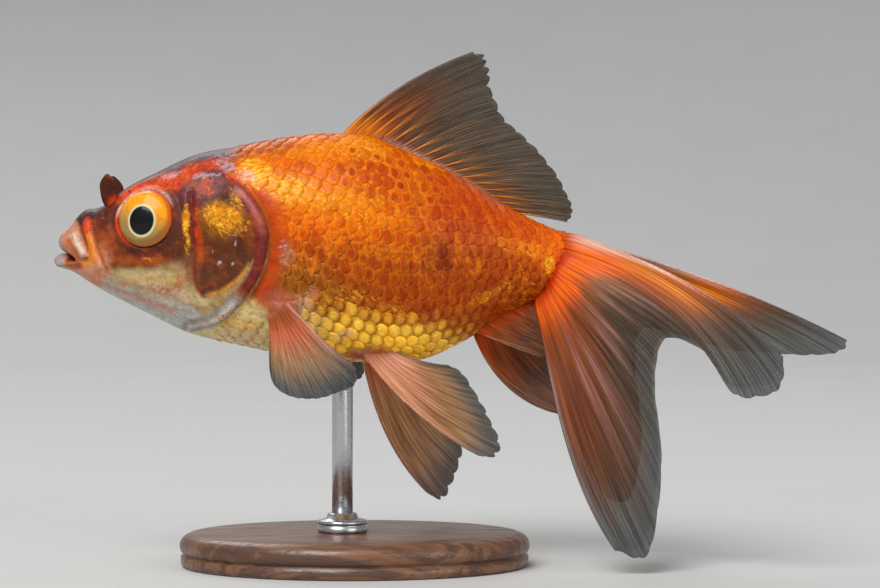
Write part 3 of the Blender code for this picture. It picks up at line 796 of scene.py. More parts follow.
HEAD_MARKS = (
    ("maroon", -28.8, 41.0, 2.2, 1.9, 0, 0.5), ("umber", -28.8, 41.2, 2.2, 1.6, 0, 0.45),
    ("rust", -28.6, 38.0, 2.2, 2.0, -30, 0.75), ("umber", -24.0, 37.5, 4.4, 1.5, 0, 0.75),
    ("rust", -24.8, 36.5, 3.0, 0.7, 0, 0.7), ("slate", -31.6, 42.2, 2.0, 0.9, 30, 0.9),
    ("slate", -26.8, 46.0, 2.6, 0.9, 27, 0.9), ("slate", -22.4, 47.7, 3.4, 1.0, 24, 0.9),
    ("slate", -16.6, 49.5, 4.6, 1.0, 10, 0.9), ("ember", -25.6, 44.8, 2.8, 0.9, 24, 0.8),
    ("ember", -21.8, 45.4, 3.2, 1.3, 12, 0.8), ("ember", -18.8, 47.0, 2.2, 0.9, 20, 0.6),
    ("violet", -18.6, 44.3, 1.9, 1.9, 0, 0.9), ("violet", -14.4, 45.2, 2.0, 1.3, -30, 0.9),
    ("maroon", -18.6, 41.8, 0.9, 2.2, 0, 0.7), ("ember", -17.9, 38.6, 0.45, 2.4, 4, 0.75),
    ("olive", -15.2, 41.2, 3.0, 2.1, 0, 0.9), ("amber", -15.0, 41.6, 2.2, 1.2, -20, 0.4),
    ("sienna", -11.8, 40.4, 0.9, 3.0, 0, 0.8), ("sienna", -13.0, 43.6, 1.1, 1.3, 40, 0.6),
    ("salmon", -30.2, 35.9, 1.4, 2.2, -20, 0.95), ("salmon", -31.8, 34.6, 2.0, 0.9, -25, 0.85),
    ("rose", -20.2, 34.0, 0.5, 1.4, -30, 0.5), ("sand", -21.6, 32.9, 1.6, 0.7, 0, 0.7),
    # the white row along the jaw's lower edge is pale skin with a painted bluish sheen on it
    ("maroon", -18.9, 35.2, 0.8, 1.4, 0, 0.6), ("white", -19.6, 30.2, 3.8, 0.9, -24, 0.85),
    ("straw", -24.6, 34.6, 3.6, 0.9, -6, 0.45), ("straw", -18.6, 32.0, 2.2, 0.7, -14, 0.5),
    ("cream", -16.4, 30.6, 2.0, 0.8, 20, 0.5),
)
print(len(BODY_MARKS), "marks on the body and", len(HEAD_MARKS), "on the head")

# %% [markdown]
# # Flecks
# Groups of mirror cells and colour cells make small sharp flakes of red, gold and pearl, and some
# gold and pale flakes are painted glints and highlights. Where they gather is stored as three soft
# shares for each point, and the material tears these clouds into flakes that are far finer than the
# mesh. The shares are drawn with the same kind of rows.

# %% Where flecks gather
FLECK_KINDS = ("red", "gold", "pale")
# Some rows are painted light: the gold rows on the shoulder and the tail stalk are partly painted glints,
# the pale row high on the head at x -12.4 is a painted highlight, and the two short pale rows low on the
# cheek are painted glints.
FLECK_MARKS = (
    ("red", -26.2, 44.6, 2.8, 0.9, 24, 0.6), ("red", -22.4, 45.5, 2.9, 1.3, 12, 0.66),
    ("red", -19.4, 46.8, 2.0, 1.0, 30, 0.6), ("red", -16.4, 47.8, 1.8, 0.9, 0, 0.6),
    ("red", -17.2, 45.0, 1.3, 1.2, 30, 0.52), ("red", -18.2, 41.2, 0.4, 2.6, 0, 0.5),
    ("red", -14.0, 46.0, 1.3, 0.8, -40, 0.5), ("red", -11.2, 44.8, 0.6, 2.0, 45, 0.6),
    ("red", -21.2, 41.6, 0.6, 1.6, 0, 0.4), ("red", -24.0, 37.0, 2.6, 0.9, 0, 0.34),
    ("red", -28.0, 39.6, 1.8, 1.4, 0, 0.3), ("gold", -15.0, 41.4, 3.0, 1.9, -24, 0.6),
    ("gold", -19.5, 41.1, 0.5, 1.8, 0, 0.85), ("gold", -19.2, 38.2, 0.4, 1.4, 0, 0.55),
    ("gold", -13.6, 43.6, 0.8, 1.6, 45, 0.5), ("gold", -24.0, 36.6, 1.8, 0.35, 0, 0.36),
    ("gold", -24.0, 34.2, 4.4, 1.0, -4, 0.36), ("pale", -22.4, 32.6, 5.6, 1.5, -16, 0.42),
    ("gold", -22.6, 33.6, 2.8, 1.0, 0, 0.4), ("gold", -11.4, 46.7, 2.4, 1.7, -35, 0.9),
    ("gold", -7.6, 44.9, 3.4, 1.7, -14, 0.7), ("gold", -4.0, 43.8, 3.0, 1.6, -12, 0.5),
    ("gold", 15.8, 32.2, 2.8, 0.7, 26, 0.40), ("gold", 4.4, 30.4, 3.2, 1.2, -8, 0.44),
    ("gold", 18.0, 33.4, 1.2, 0.6, 30, 0.40), ("gold", 18.6, 38.2, 3.0, 1.4, -20, 0.36),
    ("gold", 23.2, 35.9, 0.7, 1.3, 0, 0.75), ("gold", 21.4, 37.4, 1.8, 0.8, 0, 0.36),
    ("gold", 19.6, 33.0, 3.4, 2.6, 30, 0.28), ("gold", -13.0, 28.6, 3.4, 1.6, -10, 0.5),
    ("gold", 0.0, 42.6, 8.0, 2.8, -8, 0.38), ("gold", -1.0, 49.0, 7.0, 2.0, 0, 0.34),
    ("gold", -2.0, 32.0, 6.0, 1.6, 0, 0.40), ("pale", -21.6, 46.4, 1.7, 0.5, 18, 0.6),
    ("pale", -17.4, 46.4, 2.0, 0.4, 4, 0.66), ("pale", -14.8, 47.6, 1.6, 0.8, -20, 0.6),
    ("pale", -12.4, 46.4, 1.2, 1.0, -30, 0.62), ("pale", -15.0, 48.8, 1.8, 0.6, 0, 0.5),
    ("pale", -13.6, 39.3, 1.1, 0.16, -12, 0.6), ("pale", -23.4, 33.4, 0.4, 0.2, 0, 0.7),
    ("pale", -20.8, 33.0, 0.4, 0.25, 20, 0.6), ("pale", -16.3, 37.6, 0.16, 0.16, 0, 1.2),
    ("pale", -15.5, 36.1, 0.2, 0.2, 0, 1.3), ("pale", -13.9, 36.1, 0.16, 0.16, 0, 1.2),
    ("pale", -13.6, 38.3, 0.14, 0.14, 0, 1.2), ("pale", -8.0, 37.2, 0.8, 2.0, 0, 0.42),
    ("pale", -6.0, 31.4, 2.0, 1.4, 40, 0.45), ("pale", -13.0, 27.6, 3.4, 1.2, -10, 0.5),
    ("pale", -1.0, 27.8, 1.8, 0.7, 10, 0.5), ("pale", -24.0, 47.2, 3.0, 0.6, 24, 0.26),
)


def flecks(points):
    """How closely red, gold and pale flakes gather at points in mm, from 0 to 1."""
    found = np.zeros(points.shape)
    for share, kind in patches(points, FLECK_MARKS, ragged=0.15, soft=0.6):
        channel = FLECK_KINDS.index(kind)
        found[..., channel] = np.maximum(found[..., channel], share)
    return found


print(len(FLECK_MARKS), "groups of flecks")


# %% Tear the groups into flakes
def flaked(finish, colour):
    """Lays the three kinds of flakes over a colour in a material."""
    red, gold, pale = finish.split(finish.stored("flecks"))
    slant = finish.grain((2.6, 1.0, 1.0), (0, 0.7, 0))
    broad = finish.noise(finish.place(), 0.8, 6.0, 0.68, 0.8)
    fine = finish.noise(slant, 0.42, 5.0, 0.66, 0.9)
    tiny = finish.noise(finish.grain((2.0, 1.0, 1.0), (0, -0.3, 0)), 0.34, 4.0, 0.6)
    lit = finish.mix(finish.spread(tiny, 0.38, 0.66), tint(224, 124, 10), tint(255, 206, 50))
    hot = finish.mix(finish.spread(fine, 0.35, 0.65), tint(196, 44, 20), tint(240, 92, 30))
    flakes = ((red, broad, hot, 0.85), (gold, fine, lit, 0.8), (pale, tiny, tint(206, 176, 184), 0.55))
    for share, lumps, light, most in flakes:
        colour = finish.mix(finish.spread(share + (lumps - 0.5) * 1.8, 0.28, 0.80, 0.0, most), colour, light)
    return colour


# %% [markdown]
# # The coat, layer by layer
# Each part of the fish starts from one ground colour, and layers of paint follow: first the broad
# zones, then the marks, then thin lines. The head and the body meet at the gill's edge, where a
# maroon and silver rim lies over an ember band, with a painted highlight of mauve at its top and a
# painted glint of pearl in the silver. Lips and the rings round the eyes come last.

# %% The colour of the body
def flank_colour(points):
    """The back, the sides and the belly behind the gill's edge."""
    x, z = points[..., 0], points[..., 2]
    height = (z - BELLY(x)) / (BACK(x) - BELLY(x)) + 0.04 * cloud(points, 2.0, 1)
    rear = ease(2.0, 11.0, x + 1.5 * cloud(points, 3.0, 2))
    front, stalk = 1 - ease(-3.0, 4.0, x), ease(15.0, 20.0, x)
    low = 1 - ease(0.0, 1.0, (z - 29.0 + 0.16 * (x - 4)) / 3.4 + 0.5 + 0.5 * cloud(points, 1.8, 4, 3))
    low *= 1 - ease(12.5, 16.0, x)
    return lay(
        np.zeros(points.shape) + PAINTS["orange"],
        (rear * 0.8, "ember"),
        (1 - ease(0.44, 0.62, height), "burnt"),
        (rear * bump(height - 0.45, 0.25) * 0.8, "burnt"),
        (stalk * ease(0.3, 0.6, height) * 0.35, "orange"),
        (front * (1 - ease(0.28, 0.42, height)) * 0.8, "olive"),
        (low, "gold"),
        (low * (1 - ease(-9.0, -1.0, x)), "straw"),
        *patches(points, BODY_MARKS),
    )


# %% The colour of the head
def head_colour(points):
    """The head ahead of the gill's edge, without the lips and the rings round the eyes."""
    x, z = points[..., 0], points[..., 2]
    belly_line = 35.6 + 0.18 * (x + 24) * ease(-27.0, -20.0, x) + 0.9 * cloud(points, 1.5, 6)
    cover = ease(-19.0, -17.6, x) * ease(-0.1, 0.5, away(points, GILL_SUTURE)[0]) * (z < 44)
    return lay(
        np.zeros(points.shape) + PAINTS["brown"],
        (ease(43.0, 45.5, z), "violet"),
        (1 - ease(-1.6, 0.9, z - belly_line), "cream"),
        # white along the head's lower edge: pale skin with a painted bluish sheen
        (1 - ease(0.0, 3.0, z - BELLY(x) - 0.4), "white"),
        (cover * 0.95, "umber"),
        (cover * patch(points, -15.0, 36.4, 3.0, 2.6, 0) * 0.5, "brown"),
        *patches(points, HEAD_MARKS),
        (streak(points, CHEEK_GROOVE, 0.26) * 0.9, "maroon"),
        (streak(points, GILL_SUTURE, 0.3) * 0.8, "rust"),
        (streak(points, GILL_SUTURE, 0.14) * 0.6, "gold"),
        (streak(points, JAW_FOLD, 0.35) * 0.8, "pink"),
    )


def lip_colour(points, colour):
    """The folds round the mouth: a painted highlight on the lip bone, amber roll and corner, silver rims,
    painted shade inside.
    """
    x, z = points[..., 0], points[..., 2]
    upper = ease(36.2, 37.2, z)
    edge = -33.4 * (1 - upper) + (-32.6 + 0.42 * (40.0 - z)) * upper
    front = x + 0.35 * ease(37.4, 39.5, z) - 0.5 * ease(39.0, 41.0, z)
    inside = ease(1.9, 1.5, np.abs(points[..., 1])) * ease(-34.6, -34.1, x) * (x < -30.5)
    return lay(
        colour,
        ((1 - ease(-0.25, 0.25, x - edge)) * (z < 41.3) * 0.9, "salmon"),
        (streak(points, MOUTH_FOLD - [0.45, 0], 0.45) * 0.8, "salmon"),
        (streak(points, CHEEK_ROLL, 0.5) * 0.9, "amber"),
        (patch(points, -31.7, 40.5, 0.6, 1.0, 0) * 0.9, "scarlet"),
        (patch(points, -30.5, 36.6, 0.6, 1.4, 25) * 0.7, "salmon"),
        # a painted highlight of pearl along the ridge of the lip bone
        (streak(points, LIP_BONE, 0.36) * 0.95, "pearl"),
        (streak(points, LIP_BONE - [0.72, 0.3], 0.34, 0.1, 1.3) * 0.85, "rust"),
        (streak(points, LIP_FOLD, 0.2) * 0.85, "maroon"),
        (streak(points, MOUTH_FOLD, 0.17) * 0.85, "burnt"),
        (streak(points, MOUTH_CORNER, 0.40) * 0.9, "amber"),
        (patch(points, -33.4, 36.1, 1.2, 0.6, -20, ragged=0.2) * 0.85, "rust"),
        (ease(-34.3, -34.9, front) * 0.8, "silver"),
        # painted shade inside the open mouth
        (inside * ease(35.8, 36.2, z) * ease(38.9, 38.5, z) * 0.95, "umber"),
    )


def lid_colour(points, colour):
    """The ring of skin round each eye: pearl above, red in front, violet behind, and a painted shadow below.
    """
    for centre, forward, up, out in EYES.values():
        beside, depth = beside_eye(points, centre, out)
        high, ahead = (points - centre) @ up / EYE_RADIUS, (points - centre) @ forward / EYE_RADIUS
        ring = (depth > -1.5) * bump(beside - EYE_RADIUS - 0.2, 0.3) * 0.9
        shade = (depth > -1.5) * bump(beside - EYE_RADIUS - 0.9, 0.45) * 0.8
        colour = lay(
            colour,
            (ring, "umber"),
            (ring * ease(0.1, 0.8, ahead), "scarlet"),
            (ring * ease(0.1, 0.6, high + 0.2 * ahead), "pearl"),
            (shade * ease(0.5, -0.6, ahead + high * 0.4), "violet"),
            # a painted shadow of umber below the eye
            (shade * ease(-0.2, -0.9, high), "umber"),
        )
    return colour


# %% The colour of any point on the fish
ALL_HEAD_X = -20.0


def coat_colour(points):
    """The fish's colour at points in mm: the head ahead of the gill's edge and the body behind it."""
    gap, along = away(points, GILL_EDGE)
    over = ease(45.5, 47.5, points[..., 2])
    nape = ease(-15.6, -12.4, points[..., 0] + 0.9 * cloud(points, 1.0, 7, 3))
    behind = ease(-0.10, 0.10, gap) * (1 - over) + nape * over
    behind = np.where(points[..., 0] < ALL_HEAD_X, 0.0, behind)
    behind = np.where(points[..., 0] > HEAD_END_X, 1.0, behind)
    body = lay(
        flank_colour(points),
        (bump(gap - 0.8, 1.0) * between(along, 0.05, 0.2, 0.62, 0.72) * 0.9, "ember"),
        (bump(gap - 0.15, 0.4) * between(along, 0.1, 0.3, 0.6, 0.7), "burnt"),
    )
    inner = ease(0.05, 0.2, -gap) * (1 - ease(1.3, 1.8, -gap + 0.15 * cloud(points, 0.8, 8)))
    head = lay(
        head_colour(points),
        (inner * between(along, 0.05, 0.15, 0.66, 0.78), "maroon"),
        # a painted highlight of mauve on the top of the gill's crescent
        (bump(-gap - 0.75, 0.4) * between(along, 0.06, 0.12, 0.26, 0.44), "mauve"),
        (bump(-gap - 0.9, 0.3) * between(along, 0.25, 0.4, 0.6, 0.7) * 0.5, "violet"),
        (inner * ease(0.70, 0.78, along), "silver"),
        # a painted glint of pearl in the middle of the silver rim
        (bump(-gap - 0.7, 0.3) * ease(0.74, 0.80, along) * 0.85, "pearl"),
    )
    colour = head * (1 - behind[..., None]) + body * behind[..., None]
    return lid_colour(points, lip_colour(points, colour))


print("light values on the shoulder:", coat_colour(np.array([[-8.0, -7.0, 44.0]]))[0].round(2))

# %% [markdown]
# # The skin's finish
# Wet fish skin is smooth and a little glossy, with fine grain. The stored colour is broken up by
# small lumps of lighter and darker tone, as clusters of colour cells do, and by tiny dark freckles
# on the head and the gill's edge. A thin clear coat stands for the slime that covers every fish.

# %% Make the skin's material
def make_skin_finish():
    skin = Finish("fish_skin", Coat_Weight=0.05, Coat_Roughness=0.1, Specular_IOR_Level=0.12)
    spot = skin.place()
    coat = skin.stored("coat", output="Color")
    blotch = skin.noise(spot, 0.9, 4.0, 0.65)
    grain = skin.noise(spot, 0.22, 2.0)
    toned = skin.mix(skin.spread(blotch, 0.35, 0.7, 0.0, 0.5), coat, tint(196, 150, 120), "MULTIPLY")
    toned = skin.mix(skin.spread(grain, 0.3, 0.7, 0.0, 0.3), toned, tint(150, 120, 110), "MULTIPLY")
    warm = skin.noise(skin.grain((1.5, 1.0, 1.0), (0, 0.5, 0)), 1.7, 5.0, 0.62, 0.5)
    toned = skin.mix(skin.spread(warm, 0.50, 0.72, 0.0, 0.42), toned, tint(180, 84, 24))
    toned = skin.mix(skin.spread(warm, 0.48, 0.28, 0.0, 0.35), toned, tint(96, 52, 50), "MULTIPLY")
    toned = flaked(skin, toned)
    freckles = skin.spread(skin.noise(spot, 0.35, 1.0), 0.66, 0.72)
    freckled = freckles * skin.stored("freckles", output="Fac")
    skin.wear(Base_Color=skin.mix(freckled, toned, tint(30, 22, 20)))
    skin.wear(Roughness=skin.spread(grain + blotch * 0.5, 0.4, 1.1, 0.30, 0.48))
    skin.relief(grain * 0.5 + skin.noise(spot, 0.6, 3.0), 0.05)
    return skin.material


# %% [markdown]
# # Fins as bent sheets
# A fin is a fan of bony rays with a thin membrane between them. Each fin is described by a few
# rays, and each ray by a smooth curve with four control points. Any other ray is found between
# them, and a sheet follows when a grid is bent so that one direction runs across the rays and the
# other along them. The rays' places are those of the frame's solids.

# %% A fan of rays
LEFT, RIGHT = -1, 1
SIDES = ((LEFT, "left"), (RIGHT, "right"))
ROOT_DEPTH = 0.7


def fan(first_root, last_root, tips, side, lean=0.0, lift=0.0, bow=(0.0, 0.0)):
    """Rays from evenly spaced roots, given as (x, degrees round the body), to named tips."""
    share = np.linspace(0, 1, len(tips))[:, None]
    x, degrees = (np.array(first_root) * (1 - share) + np.array(last_root) * share).T
    angle = side * np.radians(degrees)
    root, tip = body_point(x, angle, -ROOT_DEPTH), np.array(tips) * [1, side, 1]
    run = tip - root
    reach = np.linalg.norm(run, axis=1, keepdims=True)
    out = (body_point(x, angle, 1.0) - body_point(x, angle)) * lean * reach
    shift = np.array([bow[0], 0, bow[1]]) * (1 - share) ** 2
    start, later = root + run * 0.33 + out + shift, root + run * 0.67 + out + shift
    return np.stack([root, start, later + [0, 0, lift] * reach, tip], 1)


print("the roots of the rays lie", ROOT_DEPTH, "mm below the skin")

# %% Where the rays end
DORSAL_TIPS = (
    (15.1, 0.0, 61.9), (16.4, 0.2, 60.4), (16.7, 0.5, 57.8), (17.8, 0.7, 54.2), (20.4, 0.7, 51.5),
    (23.4, 0.5, 48.4), (25.5, 0.3, 45.0), (26.3, 0.1, 42.6), (25.7, 0.0, 41.0),
)
PECTORAL_TIPS = (
    (0.9, 13.2, 23.8), (0.5, 13.7, 21.9), (-1.2, 13.8, 21.2), (-3.3, 13.8, 20.5),
    (-5.4, 13.7, 20.4), (-7.4, 13.3, 20.9), (-8.9, 12.7, 22.1), (-9.4, 11.9, 24.0),
)
PELVIC_TIPS = {
    LEFT: ((15.6, 9.7, 13.3), (17.2, 9.9, 13.5), (17.7, 9.9, 15.2), (16.6, 9.7, 17.4),
           (15.6, 9.5, 19.3), (14.2, 9.0, 21.6), (12.9, 8.5, 23.4), (11.4, 8.0, 24.2)),
    RIGHT: ((9.4, 8.5, 7.2), (10.8, 8.8, 6.7), (11.9, 9.0, 8.2), (12.7, 9.0, 10.4),
            (13.2, 8.7, 13.0), (12.6, 8.2, 16.0), (11.4, 7.6, 19.0), (10.0, 6.8, 21.4)),
}
PELVIC_BOW = {LEFT: (0, -0.9), RIGHT: (-1.6, -1.0)}
PELVIC_PAINTS = {LEFT: ("salmon", "salmon", "sand", "smoke"), RIGHT: ("rose", "sand", "sand", "clay")}
ANAL_TIPS = {
    LEFT: ((22.9, 2.2, 24.7), (23.8, 2.2, 26.2), (24.2, 2.1, 28.0), (24.0, 1.9, 29.8)),
    RIGHT: ((25.4, 3.0, 17.8), (27.0, 3.1, 19.4), (26.4, 2.9, 22.6), (23.6, 2.1, 28.2)),
}
ANAL_BOW = {LEFT: (0, 0), RIGHT: (-1.6, -2.2)}
TAIL_RAYS = {  # all four control points of each ray, from the top to the bottom
    LEFT: (
        ((24.4, 0.6, 39.4), (33.0, 4.3, 38.1), (44.6, 12.0, 31.7), (50.2, 12.6, 24.5)),
        ((24.4, 1.1, 39.0), (33.0, 4.7, 37.1), (43.4, 12.2, 31.2), (48.6, 14.2, 21.0)),
        ((24.5, 1.6, 37.4), (32.4, 5.0, 35.4), (40.0, 11.2, 30.4), (43.8, 14.9, 20.9)),
        ((24.2, 1.8, 36.7), (30.8, 5.0, 34.2), (36.6, 9.6, 31.0), (40.8, 13.2, 25.6)),
        ((23.9, 2.0, 36.0), (28.6, 4.8, 33.4), (33.0, 7.6, 30.4), (36.4, 9.9, 27.2)),
        ((23.6, 2.1, 35.2), (28.0, 5.0, 31.2), (32.2, 7.6, 27.2), (35.2, 9.0, 22.0)),
        ((23.2, 2.1, 34.1), (26.6, 5.2, 28.6), (32.4, 8.6, 21.6), (36.0, 9.4, 13.0)),
        ((22.7, 2.0, 32.9), (24.8, 5.4, 26.0), (29.6, 9.6, 13.4), (34.6, 10.3, 2.6)),
        ((21.5, 1.5, 31.9), (22.9, 5.0, 24.6), (24.2, 10.4, 10.7), (31.0, 10.6, 2.0)),
    ),
    RIGHT: (
        ((24.4, 0.6, 39.4), (36.0, 3.8, 37.3), (51.1, 8.4, 31.9), (61.6, 9.0, 26.2)),
        ((24.4, 1.1, 39.0), (35.4, 4.3, 36.6), (49.0, 9.2, 31.0), (59.0, 10.6, 24.9)),
        ((24.5, 1.6, 37.4), (33.8, 4.8, 35.2), (45.4, 9.6, 30.0), (53.8, 11.6, 24.9)),
        ((24.2, 1.8, 36.7), (31.4, 4.9, 33.9), (39.8, 8.8, 30.4), (45.8, 11.0, 25.6)),
        ((23.9, 2.0, 36.0), (28.4, 4.8, 33.2), (32.2, 7.2, 30.8), (35.6, 8.8, 28.2)),
        ((23.6, 2.1, 35.2), (27.6, 4.8, 31.2), (31.2, 7.0, 27.2), (34.4, 8.6, 23.0)),
        ((23.2, 2.1, 34.1), (26.6, 4.8, 28.8), (31.6, 7.8, 22.0), (35.2, 9.0, 14.8)),
        ((22.7, 2.0, 32.9), (25.4, 4.8, 26.8), (29.8, 8.2, 16.4), (34.0, 9.6, 7.4)),
        ((22.2, 1.8, 31.6), (23.8, 4.8, 24.6), (26.4, 8.4, 13.8), (31.4, 9.8, 6.4)),
    ),
}
print(len(DORSAL_TIPS), "drawn rays in the dorsal fin,", len(TAIL_RAYS[LEFT]), "in each half of the tail")


# %% The fins
NEARBY = 0.004


class Fin:
    """A fin: its rays, how many bony rays it carries, and the paints from root to margin."""

    def __init__(self, name, rays, count, paints, flare=0.5, flare_length=0.10, notch=0.012):
        self.name, self.rays, self.count, self.paints = name, rays, count, paints
        self.kind = name.split("_")[0]
        self.flare, self.flare_length, self.notch = flare, flare_length, notch

    def ray(self, share):
        """Control points of the ray at this share of the way across the whole fan."""
        return through(np.linspace(0, 1, len(self.rays)), self.rays)(share)

    def point(self, across, along):
        """A point of the fin's middle sheet. Both directions run from 0 to 1."""
        t = np.asarray(along)[..., None]
        a, b, c, d = np.moveaxis(self.ray(across), -2, 0)
        return a * (1 - t) ** 3 + b * 3 * (1 - t) ** 2 * t + c * 3 * (1 - t) * t * t + d * t**3

    def out(self, across, along):
        one = self.point(across + NEARBY, along) - self.point(across - NEARBY, along)
        two = self.point(across, along + NEARBY) - self.point(across, along - NEARBY)
        return unit(np.cross(one, two))

    def end(self, across):
        """Where the margin lies: notched between the rays, worn a little, with rounded corners."""
        place = across * (self.count - 1)
        valley = np.abs(place - np.round(place)) * 2
        lobes = np.stack([place * 0.7, place * 0 + self.count, place * 0], -1)
        worn = self.notch * 2.0 * (0.5 + 0.5 * cloud(lobes, 0.8, 11, 4))
        corner = 0.025 * (1 - ease(0.0, 0.06, np.minimum(across, 1 - across))) ** 2
        return 1 - self.notch * valley**2 - worn - corner


def make_fins():
    rays = fan((-2.0, 0), (18.6, 0), DORSAL_TIPS, RIGHT, lift=0.03, bow=(-2.6, 0.2))
    paints = ("clay", "smoke", "smoke", "smoke")
    fins = [Fin("dorsal_fin", rays, 19, paints, notch=0.022, flare_length=0.06)]
    for side, word in SIDES:
        rays = fan((-8.2, 117), (-9.8, 129), PECTORAL_TIPS, side, lean=0.1, lift=0.02)
        fins.append(Fin(f"pectoral_fin_{word}", rays, 14, ("rust", "rose", "sand", "mist"), 0.9, 0.12))
        tips, bow = PELVIC_TIPS[side], PELVIC_BOW[side]
        rays = fan((0.6, 156), (4.6, 156), tips, side, lean=0.08, lift=0.02, bow=bow)
        fins.append(Fin(f"pelvic_fin_{word}", rays, 10, PELVIC_PAINTS[side], 0.8, notch=0.026))
        rays = fan((14.0, 168), (21.8, 165), ANAL_TIPS[side], side, lean=0.02, bow=ANAL_BOW[side])
        fins.append(Fin(f"anal_fin_{word}", rays, 8, ("ember", "sienna", "clay", "clay")))
        rays = np.array(TAIL_RAYS[side]) * [1, side, 1]
        paints = ("scarlet", "sienna", "smoke", "mist")
        fins.append(Fin(f"tail_{word}", rays, 20, paints, 2.2, 0.16, 0.007))
    return fins


FINS = make_fins()
print(len(FINS), "fins with", sum(fin.count for fin in FINS), "rays")

# %% [markdown]
# # The colours of the fins
# At its root a fin has the warm colour of the body. Further out the rays stay rusty, while the
# membrane turns grey and lets some light through. The fin's four paints are laid one after another
# along the rays, and a few marks belong to single fins. The paired fins hang in the body's shade,
# the far ones more than the near ones, so light is painted into them and their paints are
# brightened. The outer part of the tail's far half gets painted light in the same way.

# %% Colour of a fin
# Painted light: the paired fins are painted brighter, the far ones most, to make up for the body's shade on
# them.
FIN_PAINTED_LIGHT = {  # how much brighter a fin is painted
    "pelvic_fin_left": 1.2, "anal_fin_left": 1.2,
    "pectoral_fin_right": 1.6, "pelvic_fin_right": 1.6, "anal_fin_right": 1.6,
}
# Painted light: the outer part of the tail's far half is painted brighter, because it faces away from the
# lamps.
FAR_TAIL_PAINTED_LIGHT = 1.3


def fin_colour(fin, across, along):
    """The colour of a fin at places across and along it: the four paints, then its own marks."""
    ragged = along + 0.05 * cloud(np.stack([across * fin.count, along * 3, along * 0], -1), 0.7, 8)
    root, near, middle, margin = fin.paints
    colour = lay(
        np.zeros((len(along), 3)) + PAINTS[root],
        (ease(0.08, 0.30, ragged), near),
        (ease(0.30, 0.62, ragged), middle),
        (ease(0.74, 0.96, ragged), margin),
    )
    # painted light against the shade on the paired fins
    colour = colour * FIN_PAINTED_LIGHT.get(fin.name, 1.0)
    if fin.kind == "tail":
        colour = tail_colour(across, ragged, colour, fin.count)
    # painted light on the outer part of the tail's far half
    if fin.name == "tail_right":
        colour = colour * (1 + FAR_TAIL_PAINTED_LIGHT * ease(0.3, 0.6, along))[:, None]
    if fin.kind == "dorsal":
        colour = lay(
            colour,
            (bump(across - 0.14, 0.14) * ease(0.9, 0.3, along) * 0.8, "sienna"),
            (ease(0.30, 0.12, across) * ease(0.3, 0.1, along) * 0.7, "amber"),
            (ease(0.3, 0.8, across) * ease(0.7, 0.2, ragged) * 0.4, "olive"),
            (ease(0.15, 0.35, across) * ease(0.15, 0.06, along) * 0.85, "pink"),
        )
    if fin.kind == "pelvic":
        colour = lay(
            colour,
            (ease(0.16, 0.0, across) * 0.7, "salmon"),
            (np.maximum(ease(0.7, 1.0, across), ease(0.6, 0.95, ragged)) * 0.7, "mist"),
        )
    if fin.kind == "pectoral":
        colour = lay(
            colour,
            (ease(0.10, 0.0, across) * 0.7, "pink"),
            (ease(0.5, 0.9, ragged) * 0.8, "mist"),
        )
        colour = colour * (1 - 0.3 * ease(0.7, 1.0, ragged))[:, None]
    rim = np.maximum(ease(0.022, 0.0, np.minimum(across, 1 - across)), ease(0.975, 0.995, along))
    return lay(colour, (rim * ease(0.1, 0.3, along) * 0.6, "silver"))


# %% Colour of the tail
def tail_colour(across, along, colour, count):
    """The tail: orange upper lobe, a painted highlight on its top edge, rusty front edge below, and clear
    grey between them.
    """
    shaft = np.round(across * (count - 1))
    chance = corner_number(np.stack([shaft, shaft, shaft], -1).astype(np.int64), 3)
    pale = bump(across * (count - 1) - shaft, 0.2) * (chance > 0.35)
    pale = pale * bump(along - 0.32 - 0.25 * chance, 0.22) * ease(0.25, 0.4, across)
    hot = along + 0.10 * ease(0.5, 0.8, across)
    # A painted highlight of pearl runs along the top edge of the upper lobe. It is wide near the root,
    # narrower further out, and fades out about halfway along.
    highlight_width = 0.20 - 0.13 * ease(0.1, 0.45, along)
    edge = ease(1.0, 0.4, across / highlight_width) * ease(0.03, 0.09, along) * ease(0.62, 0.35, along)
    colour = lay(
        colour,
        (ease(0.42, 0.20, across) * ease(0.80, 0.45, along) * 0.9, "rust"),
        (ease(0.36, 0.16, across) * ease(0.66, 0.36, along) * 0.95, "flame"),
        (bump(across - 0.13, 0.08) * ease(0.72, 0.5, along) * 0.85, "amber"),
        (bump(across - 0.27, 0.06) * bump(along - 0.46, 0.2) * 0.6, "sienna"),
        (ease(0.62, 0.95, across) * ease(0.92, 0.50, along) * 0.75, "sienna"),
        (ease(0.66, 0.92, across) * ease(0.4, 0.2, along) * 0.5, "rust"),
        (bump(across - 0.50, 0.17) * ease(0.26, 0.62, along), "smoke"),
        (pale * 0.7, "pink"),
        (ease(0.36, 0.18, hot) * 0.95, "flame"),
    )
    return lay(
        colour * (1 + 0.35 * ease(0.4, 0.1, hot))[:, None],
        (bump(across - 0.5, 0.3) * ease(0.12, 0.04, along) * 0.8, "crimson"),
        (bump(across - 0.46, 0.16) * bump(along - 0.36, 0.16) * 0.45, "sand"),
        # the painted highlight along the top edge
        (edge * 0.7, "pearl"),
    )


print("light values at a root:", fin_colour(FINS[-1], np.array([0.5]), np.array([0.0]))[0].round(2))

# %% [markdown]
# # Membranes
# Each membrane starts as a flat grid, made solid by lifting a copy of it, so that it is closed all
# round. Its corners then say where they belong: across the fin, along it, and on which face. The
# sheet is 0.23 mm thick, thins to 0.13 mm at the margin, and swells where it leaves the body. All
# membranes join the body's mesh, because the skin of a fish runs on over its fins.

# %% Bend a grid into a membrane
RIPPLE = 0.012
STEPS_PER_RAY, STEPS_ALONG = 6, 24
MARGIN_HALF, ROOT_EXTRA, RIM_HALF = 0.045, 0.05, 0.02


